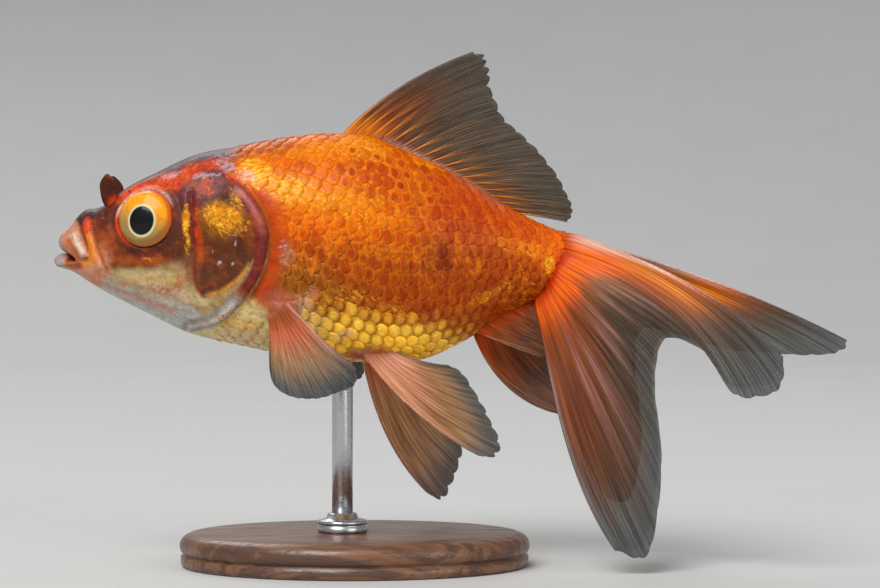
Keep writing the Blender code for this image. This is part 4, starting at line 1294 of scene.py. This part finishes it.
def ripples(fin, across, along):
    """How far the sheet of a fin rises and falls from one ray to the next."""
    return RIPPLE * np.sin(across * (fin.count - 1) * math.tau) * ease(0.1, 0.5, along)


def membrane(fin):
    mesh = closed_sheet(STEPS_PER_RAY * (fin.count - 1), STEPS_ALONG, fin.name)
    flat = points_of(mesh) + [0.5, 0.5, 0]
    across, along, face = flat[:, 0], flat[:, 1], flat[:, 2] * 2 - 1
    along = along * fin.end(across)
    rise = ease(-0.02, 0.08, along) if fin.kind == "tail" else 1.0
    half = MARGIN_HALF + ROOT_EXTRA * (1 - along) + rise * fin.flare / 2 * bump(along, fin.flare_length)
    half = half * ease(-0.02, 0.03, np.minimum(across, 1 - across)) + RIM_HALF
    middle = fin.point(across, along)
    rising = half * face + ripples(fin, across, along)
    move_points(mesh, middle + fin.out(across, along) * rising[:, None])
    fleshy = ease(0.12, 0.02, along)[:, None] * (fin.kind != "dorsal")
    store(mesh, "coat", coat_colour(middle) * fleshy + fin_colour(fin, across, along) * (1 - fleshy))
    store(mesh, "lie", np.stack([across * (fin.count - 1), along, np.full(len(along), fin.count)], -1))
    store(mesh, "freckles", np.zeros(len(along)))
    store(mesh, "flecks", np.zeros((len(along), 3)))
    return mesh


print("a fin's sheet has", STEPS_PER_RAY, "faces from ray to ray and", STEPS_ALONG, "along each ray")


# %% Make the membranes' material
def make_membrane_finish():
    skin = Finish("fin_membrane", Coat_Weight=0.04, Coat_Roughness=0.2, Specular_IOR_Level=0.12)
    lie, spot = skin.stored("lie"), skin.place()
    coat = skin.stored("coat", output="Color")
    ray, along, _ = skin.split(lie)
    stretched = skin.node("ShaderNodeCombineXYZ", inputs={"X": ray * 7.0, "Y": along * 3.0, "Z": 0.0})
    fibres = skin.node("ShaderNodeTexNoise", inputs={"Vector": stretched, "Scale": 1.0, "Detail": 4.0})
    broad = skin.node("ShaderNodeCombineXYZ", inputs={"X": ray * 1.7, "Y": along * 1.6, "Z": 3.0})
    streaks = skin.node("ShaderNodeTexNoise", inputs={"Vector": broad, "Scale": 1.0, "Detail": 3.0})
    offset = skin.node("ShaderNodeMath", {"operation": "FRACT"}, {0: ray + 0.5})
    beside = skin.node("ShaderNodeMath", {"operation": "ABSOLUTE"}, {0: offset - 0.5})
    dark = skin.spread(beside + fibres * 0.2, 0.12, 0.34, 0.3, 0.0)
    toned = skin.mix(skin.spread(fibres, 0.35, 0.65, 0.0, 0.7), coat, tint(132, 100, 84), "MULTIPLY")
    toned = skin.mix(skin.spread(streaks, 0.45, 0.7, 0.0, 0.45), toned, tint(150, 110, 92), "MULTIPLY")
    toned = skin.mix(skin.spread(fibres, 0.60, 0.80, 0.0, 0.08), toned, tint(190, 150, 120))
    skin.wear(Base_Color=skin.mix(dark, toned, tint(120, 84, 64), "MULTIPLY"))
    skin.wear(Roughness=skin.spread(fibres, 0.3, 0.7, 0.35, 0.55))
    skin.wear(Alpha=skin.spread(along + fibres * 0.12, 0.25, 0.9, 1.0, 0.74))
    skin.relief(fibres + skin.noise(spot, 0.3, 2.0) * 0.3, 0.04)
    return skin.material


# %% [markdown]
# # The flaps over the nostrils
# In front of each eye a small leaf of skin stands up over the nostril. It starts as a ball that is
# pressed flat, drawn out and curled, with a wavy rim, and it joins the skin as the fins do.

# %% Nose flaps
FLAP_X, FLAP_Y, FLAP_Z, FLAP_HEIGHT = -29.0, 2.1, 42.2, 4.6
FLAP_HALF_LENGTH, FLAP_HALF_THICKNESS = 1.05, 0.24
FLAP_SWEEP, FLAP_LEAN, FLAP_CURL, FLAP_WAVE = 0.35, 0.5, 0.25, 0.05
FLAP_OUTLINE = curve((0, 0.5), (0.15, 0.8), (0.5, 1.0), (0.85, 1.0), (1, 0.6))


def nose_flap(side):
    bm = bmesh.new()
    bmesh.ops.create_uvsphere(bm, u_segments=28, v_segments=20, radius=1.0)
    mesh = mesh_from(bm, "nose_flap")
    ball = points_of(mesh)
    t = (ball[:, 2] + 1) / 2
    wave = FLAP_WAVE * np.sin(t * 7 + side) * np.abs(ball[:, 0])
    points = np.stack([
        FLAP_X - FLAP_SWEEP * t * t + ball[:, 0] * FLAP_OUTLINE(t) * FLAP_HALF_LENGTH,
        side * (FLAP_Y + FLAP_LEAN * t) + ball[:, 1] * FLAP_HALF_THICKNESS
        + side * (wave + FLAP_CURL * ball[:, 0] ** 2),
        FLAP_Z + FLAP_HEIGHT * t,
    ], -1)
    move_points(mesh, points)
    colour = np.zeros(points.shape) + PAINTS["umber"] * 0.85
    store(mesh, "coat", lay(colour, (patch(points, -28.3, 43.2, 0.8, 1.1, 30) * 0.95, "scarlet")))
    store(mesh, "lie", ball)
    store(mesh, "freckles", np.full(len(t), 0.3))
    store(mesh, "flecks", np.zeros(points.shape))
    return mesh


print("a flap stands", FLAP_HEIGHT, "mm high over each nostril")

# %% [markdown]
# # One skin
# The body, the fins and the flaps become one mesh with one outer surface. The body's part wears the
# skin finish and the membranes their own, which is a matter of a number on each face.

# %% Join the skin
SKIN, MEMBRANE = 0, 1
FLESH_PAIRS = (
    "gill_cover", "nose_flap", "pectoral_fin", "pelvic_fin", "anal_fin", "tail_upper", "tail_lower",
)
FLESH = ["head", "trunk", "tail_stalk", "lower_jaw", "dorsal_fin"]
FLESH += [f"{part}_{word}" for part in FLESH_PAIRS for _, word in SIDES]


def make_skin():
    points = points_of(body_skin)
    store(body_skin, "coat", coat_colour(points))
    store(body_skin, "lie", points)
    head = ease(HEAD_END_X, -14.0, points[:, 0]) * ease(36.0, 44.0, points[:, 2])
    rim = streak(points, GILL_EDGE, 1.2, 0.62, 0.95)
    store(body_skin, "freckles", np.clip(head * 0.8 + rim, 0, 1))
    store(body_skin, "flecks", flecks(points))
    parts = [(body_skin, SKIN), (nose_flap(LEFT), SKIN), (nose_flap(RIGHT), SKIN)]
    parts += [(membrane(fin), MEMBRANE) for fin in FINS]
    bm = bmesh.new()
    for mesh, number in parts:
        first = len(bm.faces)
        bm.from_mesh(mesh)
        bm.faces.ensure_lookup_table()
        for face in bm.faces[first:]:
            face.material_index = number
    bmesh.ops.recalc_face_normals(bm, faces=bm.faces)
    finishes = [make_skin_finish(), make_membrane_finish()]
    place(mesh_from(bm, "goldfish_skin"), "goldfish_skin", finishes, "skin", *FLESH)


make_skin()

# %% [markdown]
# # Bony rays
# Every ray is a thin stiff rod that splits into finer ones towards the margin, and it can be felt as
# a ridge on both faces of the fin. One small rod is made once, a stretched ball of few faces. Arrays
# repeat it, and then every copy is bent along its own ray. The rod's points say by t, from 0 to 1,
# how far along the ray they are.

# %% Repeat one shape many times
def repeated(template, count):
    """One mesh of many copies of a template, in order, as an array modifier makes it."""
    holder = bpy.data.objects.new("array", template)
    bpy.context.scene.collection.objects.link(holder)
    array = holder.modifiers.new("array", "ARRAY")
    array.count = count
    array.use_relative_offset = False
    array.use_merge_vertices = False
    evaluated = holder.evaluated_get(bpy.context.evaluated_depsgraph_get())
    mesh = bpy.data.meshes.new_from_object(evaluated)
    bpy.data.objects.remove(holder)
    return mesh


# %% Shape and colour the rays
BRANCHES = 4
DORSAL_RAY, FIRST_RAY, PAIRED_RAY, OTHER_RAY = 0.15, 0.19, 0.14, 0.115
FORK_START, FORK_GROWTH = 0.08, 0.90


def ray_thickness(fin, number):
    """Half the thickness of a ray at its root, in mm. A soft fin's first ray is its stoutest."""
    if fin.kind == "dorsal":
        return DORSAL_RAY
    if number == 0:
        return FIRST_RAY
    return PAIRED_RAY if fin.kind in ("pectoral", "pelvic") else OTHER_RAY


def ray_colour(fin, number, branch, across, along):
    """A ray is a little brighter than its membrane, warm near the root, and some rays have a pale part."""
    colour = fin_colour(fin, across, along) * (1.3 if fin.kind == "pectoral" else 1.1)
    chance = float(corner_number(np.array([number, branch, fin.count]), 3))
    pale = bump(along - 0.15 - 0.6 * chance, 0.24) * (chance > 0.5) * (0.9 if number > 5 else 0.3)
    colour = lay(colour, (pale, "pink" if fin.kind == "tail" else "sand"))
    if fin.kind != "dorsal":
        return lay(colour, (ease(0.50, 0.12, along) * 0.3, "scarlet"))
    colour = lay(colour, (ease(0.55, 0.15, along) * (0.4 + 0.5 * chance), "amber"))
    return colour * (1.35 - 0.3 * along[:, None])


def make_rays(name, fins, finish):
    bm = bmesh.new()
    bmesh.ops.create_uvsphere(bm, u_segments=5, v_segments=15, radius=1.0)
    rod = mesh_from(bm, "rod")
    ball = points_of(rod)
    t = np.arccos(np.clip(ball[:, 2], -1, 1)) / np.pi
    ring = unit(ball[:, :2])
    rounded = np.sqrt(np.clip(np.sin(np.pi * t) * 6, 0, 1))
    shafts = [(fin, number) for fin in fins for number in range(fin.count)]
    rows = [(fin, number, branch) for fin, number in shafts for branch in range(BRANCHES)]
    mesh = repeated(rod, len(rows))
    points, coats, lies = [], [], []
    for fin, number, branch in rows:
        apart = FORK_START + FORK_GROWTH * ease(0.12, 0.70, t)
        fork = (branch - (BRANCHES - 1) / 2) / BRANCHES * apart / (fin.count - 1)
        centre = np.full(len(t), np.clip(number / (fin.count - 1), 0.012, 0.988))
        across = np.clip(centre + fork, 0.006, 0.994)
        along = t * (fin.end(centre) - 0.006)
        thick = ray_thickness(fin, number) * (1 - 0.5 * along) * rounded
        middle, out = fin.point(across, along), fin.out(across, along)
        step = fin.point(across + NEARBY, along) - middle
        sideways = unit(step - out * (step * out).sum(-1, keepdims=True))
        offset = (sideways * ring[:, :1] * 0.8 + out * ring[:, 1:]) * thick[:, None]
        points.append(middle + out * ripples(fin, across, along)[:, None] + offset)
        coats.append(ray_colour(fin, number, branch, across, along))
        lies.append(np.stack([np.full(len(t), number + branch / BRANCHES), along, t], -1))
    move_points(mesh, np.concatenate(points))
    store(mesh, "coat", np.concatenate(coats))
    store(mesh, "lie", np.concatenate(lies))
    place(outwards(mesh, name), name, [finish], "fin")


# %% Make the rays' material and the rays
def make_ray_finish():
    bone = Finish("fin_ray", Coat_Weight=0.04, Coat_Roughness=0.2, Specular_IOR_Level=0.12)
    lie, spot = bone.stored("lie"), bone.place()
    coat = bone.stored("coat", output="Color")
    number, along, _ = bone.split(lie)
    joints = bone.node("ShaderNodeMath", {"operation": "SINE"}, {0: along * 260.0 + number * 2.0})
    stretched = bone.node("ShaderNodeCombineXYZ", inputs={"X": number * 3.1, "Y": along * 6.0, "Z": 0.0})
    tone = bone.node("ShaderNodeTexNoise", inputs={"Vector": stretched, "Scale": 1.0, "Detail": 2.0})
    toned = bone.mix(bone.spread(tone, 0.3, 0.7, 0.0, 0.5), coat, tint(150, 104, 80), "MULTIPLY")
    bone.wear(Base_Color=bone.mix(bone.spread(joints, 0.6, 1.0, 0.0, 0.25), toned, tint(40, 24, 18)))
    bone.wear(Roughness=bone.spread(bone.noise(spot, 0.3), 0.3, 0.7, 0.3, 0.5))
    bone.relief(joints * 0.2 + tone, 0.03)
    return bone.material


ray_finish = make_ray_finish()
make_rays("rays_dorsal_fin", [fin for fin in FINS if fin.kind == "dorsal"], ray_finish)
make_rays("rays_tail", [fin for fin in FINS if fin.kind == "tail"], ray_finish)
make_rays("rays_paired_fins", [fin for fin in FINS if fin.kind not in ("dorsal", "tail")], ray_finish)

# %% [markdown]
# # The lie of the scales
# Scales sit in slanting rows, like roof tiles: each covers the fronts of those behind it. The rows
# run level with the lateral line, the row of pores along the side. A scale is placed by how far
# along the fish it lies and how far, over the skin, it is above or below that line. Each row is
# shifted by half a scale against the next.

# %% Where each scale sits
LATERAL_LINE = curve((-14.0, 43.6), (-9.7, 42.4), (-5.3, 40.9), (-1.8, 39.4), (0.6, 38.4), (3.2, 37.7),
                     (7.0, 37.4), (12.6, 37.7), (16.8, 37.4), (24.4, 36.3))
PITCH = curve((-18.0, 1.35), (-8.0, 1.38), (4.0, 1.42), (14.0, 1.3), (24.4, 1.0))
ROW = curve((-18.0, 1.5), (-8.0, 1.62), (4.0, 1.66), (14.0, 1.45), (24.4, 1.1))
SCALES_START = line((-15.2, 50.6), (-13.6, 48.6), (-12.0, 46.6), (-10.2, 44.6), (-8.6, 42.0), (-7.9, 39.0),
                    (-8.2, 36.0), (-9.2, 33.6), (-11.4, 31.2), (-14.0, 29.3), (-16.6, 27.6), (-18.0, 25.0))
SCALES_END = 24.9
ROWS_EACH_WAY, BACK_GAP = 16, 0.25


def scale_places():
    """For every scale of a side: x, angle, row, pitch, and how far it is behind the bare skin's end."""
    fine = np.linspace(-19, 26, 901)
    counted = np.concatenate([[0], np.cumsum(np.diff(fine) / PITCH(fine[:-1]))])
    angles = np.linspace(0.0, np.pi, 241)
    start_z, start_x = SCALES_START[::-1, 1], SCALES_START[::-1, 0]
    found = []
    for half_step in range(int(counted[-1] * 2)):
        x = np.interp(half_step / 2, counted, fine)
        ring = body_point(x, angles)
        length = np.concatenate([[0], np.cumsum(np.linalg.norm(np.diff(ring, axis=0), axis=1))])
        at_line = np.interp(-LATERAL_LINE(x), -ring[:, 2], length)
        for row in range(-ROWS_EACH_WAY, ROWS_EACH_WAY + 1):
            reach = at_line + row * ROW(x)
            if (row + half_step) % 2 or not BACK_GAP < reach < length[-1] - BACK_GAP:
                continue
            angle = np.interp(reach, length, angles)
            height = np.interp(angle, angles, ring[:, 2])
            first_x = np.interp(height, start_z, start_x)
            if first_x < x < SCALES_END:
                found.append((x, angle, row, float(PITCH(x)), x - first_x))
    return np.array(found)


PLACES = scale_places()
print(len(PLACES), "scales on each side")

# %% [markdown]
# # One scale
# A scale is a thin plate with a rounded rear edge. It is made flat, as a grid with a lifted copy, so
# it is closed and has its own thickness. Laid on the fish it follows the curve of the body, dips
# below the skin in front, and stands a little proud behind, which draws the fine net over the side.
# The first scales behind the head dip deeper, so that the coat starts without a step.

# %% Lay the scales
SCALE_FRONT, SCALE_REAR, SCALE_HALF_HEIGHT = -0.90, 0.75, 0.60  # in pitches and in rows
SCALE_THICKNESS, SCALE_LIFT, SCALE_SUNK = 0.04, 0.075, 0.02
FIRST_SCALES_DIP, TURN_STEP = 0.22, 0.01


def make_scales(side, word, finish):
    plate = closed_sheet(4, 6, "plate")
    flat = points_of(plate)
    a, b, top = flat[:, 0] + 0.5, flat[:, 1] * 2, flat[:, 2]
    mesh = repeated(plate, len(PLACES))
    x, angle, _, pitch, behind = (column[:, None] for column in PLACES.T)
    chance = corner_number((PLACES[:, :3] * 50).astype(np.int64), 5)[:, None]
    rear = -0.30 + (1.05 + 0.06 * chance) * np.sqrt(1 - (0.94 * b) ** 2)
    along = SCALE_FRONT + (rear - SCALE_FRONT) * a ** 0.8
    across = b * (SCALE_HALF_HEIGHT + 0.04 * chance)
    ahead, after = body_point(x, angle - TURN_STEP), body_point(x, angle + TURN_STEP)
    speed = np.linalg.norm(after - ahead, axis=-1) / (2 * TURN_STEP)
    lift = SCALE_LIFT * ease(SCALE_FRONT, SCALE_REAR, along) * (1 - 0.6 * ease(20.0, SCALES_END, x))
    lift = lift + 0.02 * (1 - b * b) - COAT_DEPTH - SCALE_SUNK - 0.06 * ease(-0.45, -0.85, along)
    lift = lift - FIRST_SCALES_DIP * ease(2.2, 0.4, behind) * ease(0.3, -0.7, along)
    lift = lift + SCALE_THICKNESS * (top - 1) + 0.01 * chance
    points = body_point(x + along * pitch, side * (angle + across * ROW(x) / speed), lift)
    points = points.reshape(-1, 3)
    move_points(mesh, points)
    paint_scales(mesh, points, side, along, across, chance)
    unwrap_scales(mesh, side, along, across)
    place(outwards(mesh, f"scales_{word}"), f"scales_{word}", [finish], "skin")


# %% Colour and unwrap the scales
def paint_scales(mesh, points, side, along, across, chance):
    """Stores each scale's rim and core colours, and where on the scale a point lies."""
    def on_corners(values):
        return np.repeat(values, along.shape[1], axis=0)

    x, angle, row, pitch, _ = PLACES.T
    roots = body_point(x + pitch * 0.25, side * angle)
    root_x, height = roots[:, 0], roots[:, 2]
    own = coat_colour(roots)
    low = 1 - ease(26.6, 32.2, height + 0.16 * (root_x - 4) + 1.2 * cloud(roots, 1.8, 9))
    low *= 1 - ease(14.0, 17.0, root_x)
    beaded = low * (0.25 + 0.75 * ease(-7.0, 0.5, root_x))
    deep = patch(roots, 3.6, 46.0, 5.2, 3.2, -15, ragged=0.7) * (0.35 + 0.65 * chance[:, 0])
    deep = np.clip(0.2 + deep + 0.35 * cloud(roots, 1.6, 10), 0.0, 1.0)
    core = lay(own, ((1 - low) * deep * 0.75, "ember")) * (1 - 0.32 * deep * (1 - low))[:, None]
    core = lay(core, (low * 0.5, "yellow")) * (1 + 0.2 * low + 0.55 * beaded)[:, None]
    core = lay(core, (low * ease(-6.0, -10.0, root_x) * 0.75, "straw"))
    coat = on_corners(own) * 0.3 + coat_colour(points) * 0.7
    yellow_rim = (1 - low) * ease(30.0, 38.0, height) * ease(16.0, 8.0, root_x)
    smeared = (1 - low) * (0.35 + 0.65 * bump(height - 37.0, 6.0))
    store(mesh, "coat", lay(coat, (on_corners(yellow_rim) * 0.35, "amber")))
    store(mesh, "core", on_corners(core))
    store(mesh, "low", on_corners(beaded * ease(-13.0, -5.0, root_x)))
    store(mesh, "smears", on_corners(smeared))
    store(mesh, "flecks", flecks(points))
    store(mesh, "lie", np.stack(np.broadcast_arrays(along, across, chance), -1).reshape(-1, 3))
    store(mesh, "pores", on_corners((row == 0) * (1 - ease(4.0, 10.0, x))))


PATCH_SIZE, MAP_MARGIN = 0.003, 0.02


def unwrap_scales(mesh, side, along, across):
    """Gives every scale a tiny patch of its own at its root's place on the skin's unwrap."""
    u = (PLACES[:, :1] - SNOUT_X) / (TAIL_ROOT_X + TAIL_CAP - SNOUT_X)
    v = 0.5 + side * PLACES[:, 1:2] / math.tau
    spot_u = MAP_MARGIN + (1 - 2 * MAP_MARGIN) * u + (along + 0.08) / 1.65 * PATCH_SIZE
    spot_v = MAP_MARGIN + (1 - 2 * MAP_MARGIN) * v + across / 1.2 * PATCH_SIZE
    spots = np.stack([spot_u, spot_v], -1).reshape(-1, 2)
    layer = mesh.uv_layers.new(name="OFBake")
    corner = np.empty(len(mesh.loops), np.int32)
    mesh.loops.foreach_get("vertex_index", corner)
    layer.data.foreach_set("uv", spots[corner].astype(np.float32).ravel())


print("each scale's patch takes", PATCH_SIZE, "of the map's width")

# %% [markdown]
# # The scales' finish
# Each scale has a darker core and a lighter rim, where one lies over the next. Low on the side it is
# the other way round: the core is bright and the rim is brown, and painted highlights of pale yellow
# speckle the bright cores. Smears of orange and brown run on from scale to scale, and fine rings and
# grain lie on each of them. A faint, broken row of pores marks the lateral line.

# %% Make the scales' material and the scales
def make_scale_finish():
    scale = Finish("fish_scale", Coat_Weight=0.05, Coat_Roughness=0.1, Specular_IOR_Level=0.1)
    spot = scale.place()
    along, across, chance = scale.split(scale.stored("lie"))
    coat, core = (scale.stored(name, output="Color") for name in ("coat", "core"))
    wobble = (scale.noise(spot, 0.6, 4.0, 0.6) - 0.5) * 1.7
    oval = ((along - 0.22) * 2.4) ** 2.0 + (across * (1.5 + chance * 0.8)) ** 2.0
    low = scale.stored("low", output="Fac")
    uneven = (0.65 + chance * 1.0) * (1.0 - low * 0.45)
    within = scale.spread(oval * uneven + wobble * (1.0 - low * 0.6), 0.25, 1.15, 1.0, 0.0)
    toned = scale.mix(within, coat, core)
    blotch = scale.noise(spot, 1.1, 4.0, 0.6)
    toned = scale.mix(scale.spread(blotch, 0.35, 0.7, 0.0, 0.45), toned, tint(200, 150, 110), "MULTIPLY")
    smear = scale.noise(scale.grain((0.75, 1.0, 2.6), (0, -0.15, 0)), 1.3, 5.0, 0.68, 0.9)
    smears = scale.stored("smears", output="Fac")
    light = scale.spread(smear, 0.50, 0.66, 0.0, 0.6) * smears
    toned = scale.mix(light, toned, tint(244, 128, 8))
    dark = scale.spread(smear, 0.49, 0.33, 0.0, 0.6) * smears
    toned = scale.mix(dark, toned, tint(196, 112, 56), "MULTIPLY")
    rim = scale.spread(oval + wobble * 0.5, 1.3, 2.3) * low
    toned = scale.mix(rim * 0.5, toned, tint(196, 124, 26))
    # painted highlights: pale yellow specks on the beaded scales low on the side, mostly near each core
    painted_bead_highlights = scale.spread(scale.noise(spot, 0.4, 4.0, 0.7) - oval * 0.25, 0.32, 0.6) * low
    toned = scale.mix(painted_bead_highlights * 0.7, toned, tint(255, 232, 120))
    pore_line = scale.spread((across * 7.5) ** 2.0 + wobble * 2.2, 0.2, 1.3, 0.30, 0.0)
    toned = scale.mix(pore_line * scale.stored("pores", output="Fac"), toned, tint(250, 150, 30))
    grain = scale.noise(spot, 0.25, 3.0)
    toned = scale.mix(scale.spread(grain, 0.35, 0.75, 0.0, 0.35), toned, tint(160, 110, 80), "MULTIPLY")
    scale.wear(Base_Color=flaked(scale, toned))
    scale.wear(Roughness=scale.spread(grain, 0.3, 0.7, 0.26, 0.42))
    rings = scale.node("ShaderNodeMath", {"operation": "SINE"}, {0: oval * 14.0 + chance * 6.0})
    scale.relief(rings * 0.1 + grain * 0.6 + scale.spread(oval, 0.0, 1.9, 3.4, 0.0) * low, 0.03)
    return scale.material


scale_finish = make_scale_finish()
for side, word in SIDES:
    make_scales(side, word, scale_finish)

# %% [markdown]
# # Eyes
# A goldfish has round, lidless eyes. The ball is nearly flat in front, the black pupil bulges a
# little because the lens pushes through it, and around it runs a thin pale ring. Each eye is a ball
# whose rings are moved to a profile: a list of how far out the surface stands at each radius.

# %% Shape the eyes
EYE_PROFILE = curve((0.0, 1.52), (0.30, 1.46), (0.44, 1.36), (0.52, 1.30), (0.70, 1.14), (0.88, 0.80),
                    (1.0, 0.0))
EYE_BACK, EYE_STAND = 1.6, 0.9
BEHIND = 4.0  # the back of the ball counts as far outside the iris


def make_eye(word, finish):
    centre, forward, up, out = EYES[word]
    bm = bmesh.new()
    bmesh.ops.create_uvsphere(bm, u_segments=96, v_segments=72, radius=1.0)
    mesh = mesh_from(bm, f"eye_{word}")
    ball = points_of(mesh)
    radius = np.hypot(ball[:, 0], ball[:, 1])
    stand = np.where(ball[:, 2] > 0, EYE_PROFILE(radius), -EYE_BACK * np.abs(ball[:, 2])) + EYE_STAND
    points = centre + (ball[:, :1] * forward + ball[:, 1:2] * up) * EYE_RADIUS + stand[:, None] * out
    move_points(mesh, points)
    store(mesh, "gaze", ball * np.where(ball[:, 2:] > 0, 1.0, BEHIND))
    place(outwards(mesh, mesh.name), f"eye_of_glass_{word}", [finish], "eye", f"eye_{word}")


# %% Make the eyes' material and the eyes
def make_eye_finish():
    eye = Finish("eye_glass", Coat_Weight=0.25, Coat_Roughness=0.03, Roughness=0.35, Specular_IOR_Level=0.1)
    forward, up, _ = eye.split(eye.stored("gaze"))
    spot = eye.place()
    pupil_shape = ((forward + 0.03) * 2.3) ** 2.0 + ((up + 0.15) * 2.05) ** 2.0
    radius = (forward * forward + up * up) ** 0.5
    mottle = eye.noise(spot, 0.5, 4.0, 0.6)
    low = eye.spread(forward * 0.35 - up + mottle * 0.4, -0.35, 0.75)
    iris = eye.mix(low, tint(248, 156, 8), tint(150, 124, 66))
    iris = eye.mix(eye.spread(mottle, 0.5, 0.75, 0.0, 0.6), iris, tint(196, 100, 12))
    edge = eye.mix(low, tint(222, 104, 30), tint(196, 120, 62))
    iris = eye.mix(eye.spread(radius, 0.86, 0.96), iris, edge)
    ringed = eye.mix(eye.spread(pupil_shape, 1.28, 1.62, 1.0, 0.0), iris, tint(206, 196, 152))
    done = eye.mix(eye.spread(pupil_shape, 1.0, 1.14, 1.0, 0.0), ringed, tint(14, 13, 16))
    eye.wear(Base_Color=done)
    eye.relief(mottle * eye.spread(pupil_shape, 1.0, 1.4), 0.04)
    return eye.material


eye_finish = make_eye_finish()
for _, word in SIDES:
    make_eye(word, eye_finish)

# %% [markdown]
# # The stand
# The base is an oval of walnut with a moulded edge, turned as a round and then pressed to an oval.
# The rod is bright steel, and a small turned collar covers the place where it enters the wood. Each
# of them is a profile spun about the rod's axis.

# %% The stand's finishes
def walnut_finish():
    wood = Finish("walnut", Coat_Weight=0.3, Coat_Roughness=0.2)
    spot = wood.place(stretch=(0.14, 1, 1), turn=(0, 0, 0.06))
    rings = wood.noise(spot, 5.0, 4.0, 0.6, 0.8)
    bands = wood.node("ShaderNodeMath", {"operation": "SINE"}, {0: rings * 34.0})
    pores = wood.noise(wood.place(stretch=(0.05, 1, 1)), 0.28, 3.0, 0.7)
    tone = wood.mix(wood.spread(bands, -1.0, 1.0), tint(84, 52, 34), tint(122, 80, 52))
    tone = wood.mix(wood.spread(pores, 0.52, 0.72, 0.0, 0.75), tone, tint(46, 28, 20))
    wood.wear(Base_Color=tone, Roughness=wood.spread(pores, 0.4, 0.7, 0.36, 0.55))
    wood.relief(wood.spread(pores, 0.5, 0.7, 1.0, 0.0), 0.04)
    return wood.material


def steel_finish():
    steel = Finish("brushed_steel", Metallic=1.0)
    scratches = steel.noise(steel.place(stretch=(1, 1, 14)), 1.2, 4.0, 0.7)
    tone = steel.mix(scratches, tint(176, 178, 182), tint(206, 206, 208))
    steel.wear(Base_Color=tone, Roughness=steel.spread(scratches, 0.3, 0.7, 0.2, 0.34))
    steel.relief(scratches, 0.01)
    return steel.material


# %% Turn the stand's pieces
BASE_HALF_LENGTH, BASE_HALF_WIDTH, BASE_HEIGHT, BASE_ROUND = 21.0, 17.0, 4.0, 21.0
ROD_X, ROD_RADIUS, ROD_TOP, ROD_SUNK, ROD_ROUNDING = -1.5, 1.25, 27.0, 0.5, 0.4
COLLAR_LOW, COLLAR_HEIGHT, COLLAR_RADIUS, COLLAR_ROUNDING = 4.0, 2.3, 3.0, 0.25


def arc(centre_radius, centre_height, radius, first, last, steps):
    """Corners of a rounding in a profile, from one angle to another."""
    turns = np.radians(np.linspace(first, last, steps))
    return [(centre_radius + radius * math.cos(a), centre_height + radius * math.sin(a)) for a in turns]


def make_base():
    """The moulding is a small bead at the bottom, a quirk, and a broad round that runs up to the top."""
    top = BASE_HEIGHT
    profile = [(0, 0), (8, 0), (19.6, 0)] + arc(20.2, 0.6, 0.6, -90, 0, 5)
    profile += [(20.8, 1.3), (20.35, 1.45), (20.35, 1.6)] + arc(19.6, 2.5, 1.35, -30, 78, 12)
    profile += [(19.7, 3.92), (19.4, top - 0.02), (14, top), (6, top), (0, top)]
    base = turned(profile, 0.0, 160)
    pressed = (BASE_HALF_LENGTH / BASE_ROUND, BASE_HALF_WIDTH / BASE_ROUND, 1)
    bmesh.ops.scale(base, vec=pressed, verts=base.verts)
    place(mesh_from(base, "base"), "stand_base_turned", [walnut_finish()], "walnut", "stand_base")


def make_rod(steel):
    foot, shoulder = BASE_HEIGHT - ROD_SUNK, ROD_TOP - ROD_ROUNDING
    profile = [(0, foot), (ROD_RADIUS, foot), (ROD_RADIUS, 15.0), (ROD_RADIUS, shoulder)]
    profile += arc(ROD_RADIUS - ROD_ROUNDING, shoulder, ROD_ROUNDING, 0, 90, 5) + [(0, ROD_TOP)]
    rod = mesh_from(turned(profile, ROD_X, 64), "rod")
    place(rod, "stand_rod_polished", [steel], "steel", "stand_rod")


def make_collar(steel):
    low, high, edge = COLLAR_LOW, COLLAR_LOW + COLLAR_HEIGHT, COLLAR_RADIUS - COLLAR_ROUNDING
    profile = [(0, low)] + arc(edge, low + COLLAR_ROUNDING, COLLAR_ROUNDING, -90, 0, 4)
    profile += [(COLLAR_RADIUS, low + 0.8), (edge, low + 0.9)]
    profile += arc(ROD_RADIUS + 1.5, low + 1.2, 0.3, -60, 90, 6)
    profile += [(ROD_RADIUS + 0.7, high - 0.7), (ROD_RADIUS + 0.5, high - 0.1)]
    profile += [(ROD_RADIUS + 0.3, high), (0, high)]
    collar = mesh_from(turned(profile, ROD_X, 96), "collar")
    place(collar, "stand_collar_turned", [steel], "steel", "stand_collar")


make_base()
steel = steel_finish()
make_rod(steel)
make_collar(steel)
